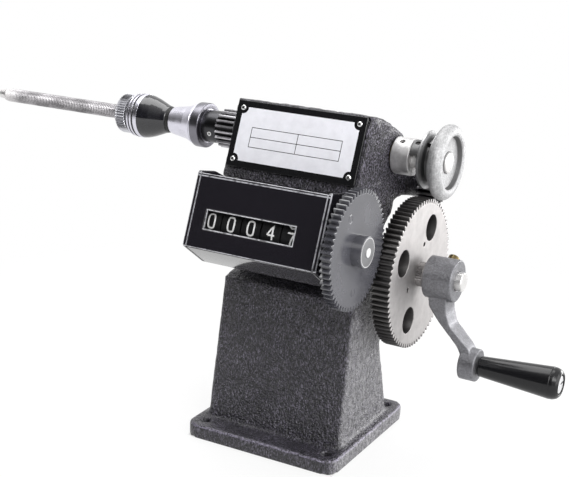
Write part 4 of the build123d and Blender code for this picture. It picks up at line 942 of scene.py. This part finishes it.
class WINDER_OT_counter_drums(Step, bpy.types.Operator):
    """White figures 0 to 9 round each of the five counter drums"""

    bl_idname = "winder.counter_drums"
    bl_label = "Counter figures"

    # centre lines of the figures 0 to 9, as x and y in hundredths of their width and height
    STROKES = (
        ("50 100 12 94 0 72 0 28 12 6 50 0 88 6 100 28 100 72 88 94 50 100",),
        ("18 76 55 100 55 0",),
        ("0 75 10 94 50 100 90 93 98 70 80 46 20 18 0 0 100 0",),
        ("0 85 25 99 70 99 95 84 90 60 45 53", "45 53 95 45 100 18 75 2 28 0 0 14"),
        ("78 0 78 100 0 30 105 30",),
        ("92 100 12 100 6 56 50 62 92 50 100 26 80 4 35 0 0 12",),
        ("90 90 60 100 20 90 0 55 0 25 15 3 50 0 88 5 100 28 88 52 50 58 10 48 0 30",),
        ("0 100 100 100 60 50 42 0",),
        ("50 54 12 63 8 88 50 100 92 88 88 63 50 54 5 42 0 14 50 0 100 14 95 42 50 54",),
        ("10 10 40 0 80 10 100 45 100 75 85 97 50 100 12 95 0 72 12 48 50 42 90 52 100 70",),
    )
    CORNERS = {1: (1,), 2: (8,), 4: (1, 2), 5: (1, 2), 7: (1,)}  # the knots that stay sharp
    SHOWN = (0, 0, 0, 4, 7)
    UNITS_AHEAD = 7.9  # degrees that the last drum has turned past its figure

    def make(self, sizes, colours):
        for k, name in enumerate(DRUMS):
            middle, turn = sum(ends(name)) / 2, pi - TILT
            if name == "drum_units":  # its box has a gear in it
                middle = sum(ends("drum_tens")) / 2 + DRUM_STEP
                turn += radians(self.UNITS_AHEAD)
            surfaces = []
            for figure, lines in enumerate(self.STROKES):
                start = turn - radians(36.0) * (figure - self.SHOWN[k])
                for line in lines:
                    knots = np.array(line.split(), float).reshape(-1, 2) / 100
                    path = self.eased(knots, self.CORNERS.get(figure, ()))
                    path = (path - 0.5) * [sizes.figure_width / MM, sizes.figure_height / MM]
                    surfaces.append(self.stroke(path, middle, start))
            piece(name + "_figures", name + "_body", "drum_black", surfaces, "", "figure_white")

    def eased(self, line, corners):
        """The line with three points between knots, on a Catmull-Rom curve but sharp at corners.

        At u from knot p1 to p2 the point is (2u^3 - 3u^2 + 1) p1 + (u^3 - 2u^2 + u) m1 +
        (3u^2 - 2u^3) p2 + (u^3 - u^2) m2, where m is half the step from the knot before to the
        knot after.
        """
        if len(line) < 4:
            t, k = np.linspace(0, len(line) - 1, 4 * len(line) - 3), np.arange(len(line))
            return np.stack([np.interp(t, k, line[:, 0]), np.interp(t, k, line[:, 1])], 1)
        closed = np.allclose(line[0], line[-1])
        first = line[-2] if closed else 2 * line[0] - line[1]
        last = line[1] if closed else 2 * line[-1] - line[-2]
        p = np.vstack([first, line, last])
        u = (np.arange(4) / 4)[None, :, None]
        p0, p1, p2, p3 = p[:-3, None], p[1:-2, None], p[2:-1, None], p[3:, None]
        m1, m2 = (p2 - p0) / 2, (p3 - p1) / 2
        for c in corners:
            if c < len(m1):
                m1[c] = (p2 - p1)[c]
            m2[c - 1] = (p2 - p1)[c - 1]
        curve = (2 * u**3 - 3 * u**2 + 1) * p1 + (u**3 - 2 * u**2 + u) * m1
        curve += (3 * u**2 - 2 * u**3) * p2 + (u**3 - u**2) * m2
        return np.vstack([curve.reshape(-1, 2), line[-1:]])

    def stroke(self, flat, middle, start, pen=1.15):
        """A flat pen line carried along a path and wrapped on the drum.

        The pen's section is a low rectangle: half the pen to each side, from just under the
        drum's skin to 0.06 mm above it.  Height on the drum becomes an angle, height / radius.
        """
        way = np.gradient(flat, axis=0)
        way /= np.maximum(np.linalg.norm(way, axis=1), 1e-9)[:, None]
        flat[0] -= way[0] * pen * 0.3
        flat[-1] += way[-1] * pen * 0.3
        side = np.stack([-way[:, 1], way[:, 0]], 1) * pen / 2
        p = flat[:, None] + side[:, None] * np.array([-1, -1, 1, 1])[None, :, None]
        a = start - p[..., 1] / DRUM_RADIUS
        r = DRUM_RADIUS + np.array([-0.1, 0.06, 0.06, -0.1]) + 0 * a
        points = [middle + p[..., 0], COUNTER[0] + r * np.cos(a), COUNTER[1] + r * np.sin(a)]
        shell, faces = grid(np.stack(points, -1))
        n = len(shell)
        caps = np.array([[3, 2, 1, 0], [n - 4, n - 3, n - 2, n - 1]])
        return outward((shell, [faces[0], caps]))


class WINDER_OT_counter_fittings(Step, bpy.types.Operator):
    """Counter gear and reset lever"""

    bl_idname = "winder.counter_fittings"
    bl_label = "Counter fittings"

    def make(self, sizes, colours):
        x0, x1, back, end = 56.0, 62.8, 49.9, ends("counter_gear")[1]
        teeth = tooth_outline(COUNTER, 60, sizes.module / MM, COUNTER_PHASE)
        disc = plate([teeth, circle(COUNTER, 9.0)], x0, x1, 0.28, 2)
        section = [(back, 3.0), (back, 10.2), (x1 + 0.1, 10.2), (end, 10.2), (end, 3.0)]
        hub = lathe(section, COUNTER, 0.5, 64)
        names = "counter_input", "gear_grey"
        piece("counter_gear_moulding", *names, [disc, hub], "counter_gear")
        washer = tube(end - 0.2, end + 0.03, 3.0, 9.0, COUNTER, 0.05)
        piece("counter_gear_washer", *names, [washer], "", "washer_grey")
        # the light rim round the washer is a painted highlight on its edge
        rim = tube(end - 0.2, end + 0.06, 9.0, 9.45, COUNTER, 0.03)
        piece("counter_gear_rim", *names, [rim], "", "washer_rim")
        y, z = -22.0, 152.5
        head = arc((y, z), 7.5, np.radians(np.linspace(82, 271, 22)))
        tail = arc((y + 38, z - 4.8), 3.6, np.radians(np.linspace(-94, 78, 16)))
        lever = plate([np.vstack([head, tail])], -56.5, -53.9, 0.9, 4)
        piece("reset_lever_chrome", "lever", "lever_chrome", [lever], "reset_lever")


class WINDER_OT_mandrel(Step, bpy.types.Operator):
    """Threaded mandrel with its nut, the two cones and the spindle pinion"""

    bl_idname = "winder.mandrel"
    bl_label = "Mandrel and cones"

    def make(self, sizes, colours):
        thread = self.thread(sizes.thread_pitch / MM, sizes.thread_depth / MM)
        steel = "spindle", "spindle_steel"
        piece("mandrel_thread", *steel, [thread], "spindle_shaft", "mandrel")
        end = ends("spindle_shaft")[1]
        shaft = [(-126.9, 0), (-126.9, 6.0), (-84.0, 6.0), (-84.0, 7.0), (end - 0.6, 7.0)]
        ground = lathe([*shaft, (end, 6.4), (end, 0)], SPINDLE, 0.2)
        piece("spindle_shaft_ground", *steel, [ground], "", "shaft_steel")
        nut = [(0, 5.25), (0, 11.9), (1.6, 13.9), (2.2, 14.3), (9.0, 14.3), (9.5, 13.8)]
        nut += [(9.6, 11.7), (11.6, 11.7), (11.6, 5.25)]
        start, count, depth = -172.0, sizes.knurl_flutes, 1.15
        flutes = count, depth, start + 0.8, start + 9.55, 12.5
        turned = lathe(nut, SPINDLE, 0.25, 6 * count, flutes, start)
        piece("mandrel_nut", "nut", "nut_steel", [turned], "knurled_nut", sharp=50.0)
        self.free_cone(-160.0)
        self.fixed_cone(-127.0, -97.0)
        teeth = tooth_outline(SPINDLE, 20, sizes.module / MM, SPINDLE_PHASE)
        pinion = plate([teeth, circle(SPINDLE, 7.0)], -84.0, -53.0, 0.35, 2)
        collar = tube(-53.2, -50.3, 7.0, 9.0, SPINDLE, 0.2)
        piece("spindle_pinion_steel", "spindle", "dark_steel", [pinion, collar], "spindle_pinion")

    def free_cone(self, start):
        """Black cone on the thread, with three bright bands."""
        cone = [(0, 5.25), (0, 14.8), (0.6, 15.4), (2.2, 15.6), (2.5, 15.0), (3.2, 15.0)]
        cone += [(3.5, 15.8), (5.4, 16.0), (5.7, 15.4), (6.4, 15.4), (6.7, 16.0), (9.0, 16.0)]
        cone += [(13.0, 15.4), (18.0, 13.9), (23.0, 11.9), (27.0, 10.3), (29.9, 9.6), (30.4, 9.1)]
        cone += [(30.4, 5.25)]
        turned = lathe(cone, SPINDLE, 0.3, 120, at=start)
        piece("free_cone_black", "free_cone", "cone_black", [turned], "outer_cone")
        bands = [
            [(0.9, 12), (0.9, 15.55), (2.3, 15.66), (2.3, 12)],
            [(3.6, 12), (3.6, 15.86), (5.3, 16.06), (5.3, 12)],
            [(6.8, 12), (6.8, 16.04), (9.0, 16.06), (9.9, 15.98), (9.9, 12)],
        ]
        rings = [lathe(band, SPINDLE, 0.12, 120, at=start) for band in bands]
        piece("free_cone_bands", "free_cone", "cone_black", rings, "", "cone_bright")

    def fixed_cone(self, x, rim):
        """Bright cone on the spindle, with a dark rim and a black hub behind it."""
        cone = [(x, 6.0), (x, 9.0), (x + 0.8, 9.8), (rim - 16.0, 12.0), (rim - 9.0, 14.9)]
        cone += [(rim - 8.6, 14.5), (rim - 8.0, 14.5), (rim - 7.2, 16.0), (rim - 0.5, 16.0)]
        cone += [(rim, 15.5), (rim, 6.0)]
        bright = "spindle", "cone_bright"
        piece("fixed_cone_bright", *bright, [lathe(cone, SPINDLE, 0.35, 120)], "inner_cone")
        dark = [(-7.0, 12), (-7.0, 16.05), (-0.5, 16.05), (0.05, 15.5), (0.05, 12)]
        turned = lathe(dark, SPINDLE, 0.3, 120, at=rim)
        piece("fixed_cone_rim", *bright, [turned], "", "cone_rim")
        hub = tube(rim - 0.2, -84.5, 6.0, 11.5, SPINDLE, 0.7, 96)
        piece("fixed_cone_hub", *bright, [hub], "", "black_screws")

    def thread(self, pitch, depth):
        """Rod along X with a single screw thread, between a plain tip and a plain root.

        The radius falls by depth times a triangle wave of (x - pitch a / 2 pi) / pitch, at the
        angle a, with its crests and roots cut flat.
        """
        a = np.linspace(0, 2 * pi, 40, endpoint=False)
        first, last = -284.6, -127.0
        x = np.arange(first, last, pitch / 8)[:, None]
        wave = np.abs(((x - pitch * a / 2 / pi) / pitch) % 1 - 0.5) * 2
        wave = np.clip(wave * 1.25 - 0.12, 0, 1)
        ease = np.clip((x - first) / 2.0, 0, 1)
        middle = np.stack([x + 0 * a, 5.2 - depth * (wave * ease + (1 - ease) * 0.6)], -1)
        tip = [(-291.5, 0), (-291.5, 2.7), (-291.2, 3.1), (-290.8, 3.35), (-286.1, 3.4)]
        tip += [(-286.0, 3.5), (-285.6, 4.2), (-285.0, 4.6)]
        end = [(-126.8, 5.0), (-126.8, 0)]
        tip, end = (np.repeat(np.array(knots)[:, None], len(a), 1) for knots in (tip, end))
        x, r = np.moveaxis(np.concatenate([tip, middle, end]), -1, 0)
        points = np.stack([x, SPINDLE[0] + r * np.cos(a), SPINDLE[1] + r * np.sin(a)], -1)
        return outward(grid(points))


class WINDER_OT_hand_wheel(Step, bpy.types.Operator):
    """Hand wheel with a rounded rim and a dished face"""

    bl_idname = "winder.hand_wheel"
    bl_label = "Hand wheel"

    def make(self, sizes, colours):
        x, end = ends("hand_wheel")
        w = end - x
        wheel = [(0, 7.0), (0, 20.4), (0.3, 22.6), (1.4, 24.0), (3.0, 24.8), (4.6, 25.0)]
        wheel += [(6.2, 24.6), (7.6, 23.6), (8.6, 22.0), (w, 20.2), (w - 0.1, 18.6)]
        wheel += [(w - 0.8, 17.7), (w - 1.6, 17.5), (w - 4.0, 17.1), (w - 4.0, 7.0)]
        rim = lathe(wheel, SPINDLE, 0.35, 128, at=x)
        ring = tube(end - 4.2, end - 3.92, 7.0, 7.5, SPINDLE, 0.05)
        names = "spindle", "cast_aluminium"
        piece("hand_wheel_rim", *names, [rim], "hand_wheel")
        piece("hand_wheel_ring", *names, [ring], "", "black_screws")


class WINDER_OT_gear_train(Step, bpy.types.Operator):
    """Large steel gear with its holes, the layshaft gear and pinion"""

    bl_idname = "winder.gear_train"
    bl_label = "Gear train"

    def make(self, sizes, colours):
        module = sizes.module / MM
        holes = [circle(polar(CRANK, 32.6, 63 + 90 * k), 9.2, 56) for k in range(4)]
        holes += [circle(polar(CRANK, 20.2, 78 + 120 * k), 1.7, 24) for k in range(3)]
        loops = [tooth_outline(CRANK, 80, module, CRANK_PHASE), circle(CRANK, 6.5, 64), *holes]
        large = plate(loops, GEAR_BACK, ends("crank_gear")[1], 0.32, 2)
        boss = tube(56.6, 60.1, 6.5, 11.0, CRANK)
        piece("crank_gear_steel", "crank", "gear_steel", [large, boss], "crank_gear")
        bore, group = circle(LAYSHAFT, 5.0), "layshaft_group"
        gear = plate([tooth_outline(LAYSHAFT, 40, module, 0.0), bore], -66.0, -58.0, 0.32, 2)
        hub = tube(-58.1, -55.6, 5.0, 9.0, LAYSHAFT)
        names = "layshaft_gear_steel", group, "gear_steel"
        piece(*names, [gear, hub], "layshaft_gear", "lay_steel")
        teeth = tooth_outline(LAYSHAFT, 20, module, PINION_PHASE)
        pinion = plate([teeth, bore], GEAR_BACK, GEAR_FACE, 0.3, 2)
        names = "layshaft_pinion_steel", group, "dark_steel"
        piece(*names, [pinion], "layshaft_pinion", "pinion_steel")


class WINDER_OT_crank(Step, bpy.types.Operator):
    """Cast crank arm with its hub and boss, and the turned black grip"""

    bl_idname = "winder.crank"
    bl_label = "Crank and grip"

    def make(self, sizes, colours):
        (cy, cz), gz = CRANK, GRIP[1]
        self.arm(79.5, 108.0, cy, cz, gz)
        start, end = ends("handle_grip")
        w = end - start
        grip = [(0, 3.3), (0, 6.2), (0.8, 7.0), (50.2, 10.9), (50.6, 10.5), (51.0, 10.8)]
        grip += [(52.6, 10.6), (55.0, 9.6), (w - 0.4, 8.3), (w, 7.7), (w - 0.3, 6.9)]
        grip += [(w - 1.0, 6.6), (w - 5.3, 6.6), (w - 5.3, 3.3)]
        turned = lathe(grip, (cy, gz), 0.3, 96, at=start)
        piece("grip_turned", "grip", "grip_black", [turned], "handle_grip")
        first = ends("handle_pin")[0]
        pin = [(first, 0), (first, 3.2), (end - 4.9, 3.2), (end - 4.9, 6.0), (end - 1.9, 6.0)]
        parts = [lathe([*pin, (end - 1.9, 0)], (cy, gz), 0.2, 64)]
        for side in (-1, 1):  # the two halves of the slotted head
            ring = arc((cy, gz), 5.9, np.radians(np.linspace(7, 173, 32)) * side)
            parts.append(plate([ring], end - 2.0, end - 0.7, 0.2, 2))
        piece("handle_pin_turned", "crank", "shaft_steel", parts, "handle_pin", "pin_chrome")

    def arm(self, hx, bx, cy, cz, gz):
        """Hub and boss turned, arm a bent outline that narrows downwards, blended by a remesh."""
        hub = tube(hx, hx + 20.5, 6.5, 14.5, CRANK, 0.8, 96)
        boss = tube(bx, 119.6, 3.0, 11.2, (cy, gz), 0.8, 80)
        bend = [(hx + 3.6, cz - 8.0), (hx + 4.2, cz - 18.0), (hx + 11.5, cz - 28.0)]
        bend += [(bx - 3.2, gz + 13.0), (bx + 0.6, gz + 6.0), (bx + 7.6, gz + 6.0)]
        bend += [(bx + 6.2, gz + 11.5), (hx + 19.6, cz - 30.0), (hx + 16.4, cz - 20.0)]
        points, faces = plate([rounded([*bend, (hx + 16.0, cz - 8.0)], 2.5)], -1.0, 1.0, 0.08, 3)
        width, x, z = points.T
        share = np.clip((cz - 10 - z) / (cz - 10 - gz - 12), 0, 1)
        points = np.stack([x, cy + width * (9.4 - 3.0 * share), z], 1)
        surfaces = [hub, boss, outward((points, [f[:, ::-1] for f in faces]))]
        names = "crank_arm_cast", "crank", "arm_aluminium"
        blended(piece(*names, surfaces, "crank_arm", sharp=180.0), 0.5 * MM, True)


class WINDER_OT_node_finishes(Step, bpy.types.Operator):
    """Gives each remaining part of the frame the finish of its slot"""

    bl_idname = "winder.node_finishes"
    bl_label = "Finishes of the plain parts"

    # the nodes of each finish; any other node is counter steel
    NODES = {
        "bronze": "spindle_bushes layshaft_bushes crank_bushes",
        "bezel_grey": "counter_bezel",
        "black_screws": "counter_mount_screws pulley_set_screw",
        "bright_screws": "counter_screws",
        "carry_white": "carry_pinions counter_input_pinion counter_idler",
        "shaft_end": "counter_shaft cone_set_screw",
        "cap_cream": "counter_end_cap",
        "lever_chrome": "reset_lever_wings",
        "spindle_steel": "clutch_collar",
        "pulley_aluminium": "drive_pulley",
        "worn_steel": "collar_set_screws serrated_collar",
        "ring_rubber": "cone_ring",
        "shaft_steel": "layshaft crank_shaft shaft_collar",
        "brass_screw": "crank_set_screw",
        "drum_black": " ".join(DRUMS),
    }

    def make(self, sizes, colours):
        looks = {name: look for look, names in self.NODES.items() for name in names.split()}
        for name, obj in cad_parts.items():
            if not obj.hide_render:
                obj.data.materials.clear()
                obj.data.materials.append(FINISHES[looks.get(name, "counter_steel")])


STEPS = (
    WINDER_OT_stage,
    WINDER_OT_casting,
    WINDER_OT_nameplate,
    WINDER_OT_counter_box,
    WINDER_OT_counter_drums,
    WINDER_OT_counter_fittings,
    WINDER_OT_mandrel,
    WINDER_OT_hand_wheel,
    WINDER_OT_gear_train,
    WINDER_OT_crank,
    WINDER_OT_node_finishes,
)


class WINDER_PT_panel(bpy.types.Panel):
    """Settings and steps of the coil winding machine"""

    bl_idname = "WINDER_PT_panel"
    bl_label = "Coil winding machine"
    bl_space_type = "VIEW_3D"
    bl_region_type = "UI"
    bl_category = "Winder"

    def draw(self, context):
        for group in (context.scene.winder_sizes, context.scene.winder_colours):
            box = self.layout.box()
            for key in group.__annotations__:
                box.prop(group, key)
        for step in STEPS:
            self.layout.operator(step.bl_idname)


CLASSES = (WinderSizes, WinderColours, *STEPS, WINDER_PT_panel)


def register():
    for cls in CLASSES:
        bpy.utils.register_class(cls)
    bpy.types.Scene.winder_sizes = PointerProperty(type=WinderSizes)
    bpy.types.Scene.winder_colours = PointerProperty(type=WinderColours)


def unregister():
    del bpy.types.Scene.winder_colours
    del bpy.types.Scene.winder_sizes
    for cls in reversed(CLASSES):
        bpy.utils.unregister_class(cls)


def main():
    register()
    make_finishes(bpy.context.scene.winder_colours)
    for step in STEPS:
        group, name = step.bl_idname.split(".")
        getattr(getattr(bpy.ops, group), name)()


if __name__ == "__main__":
    main()
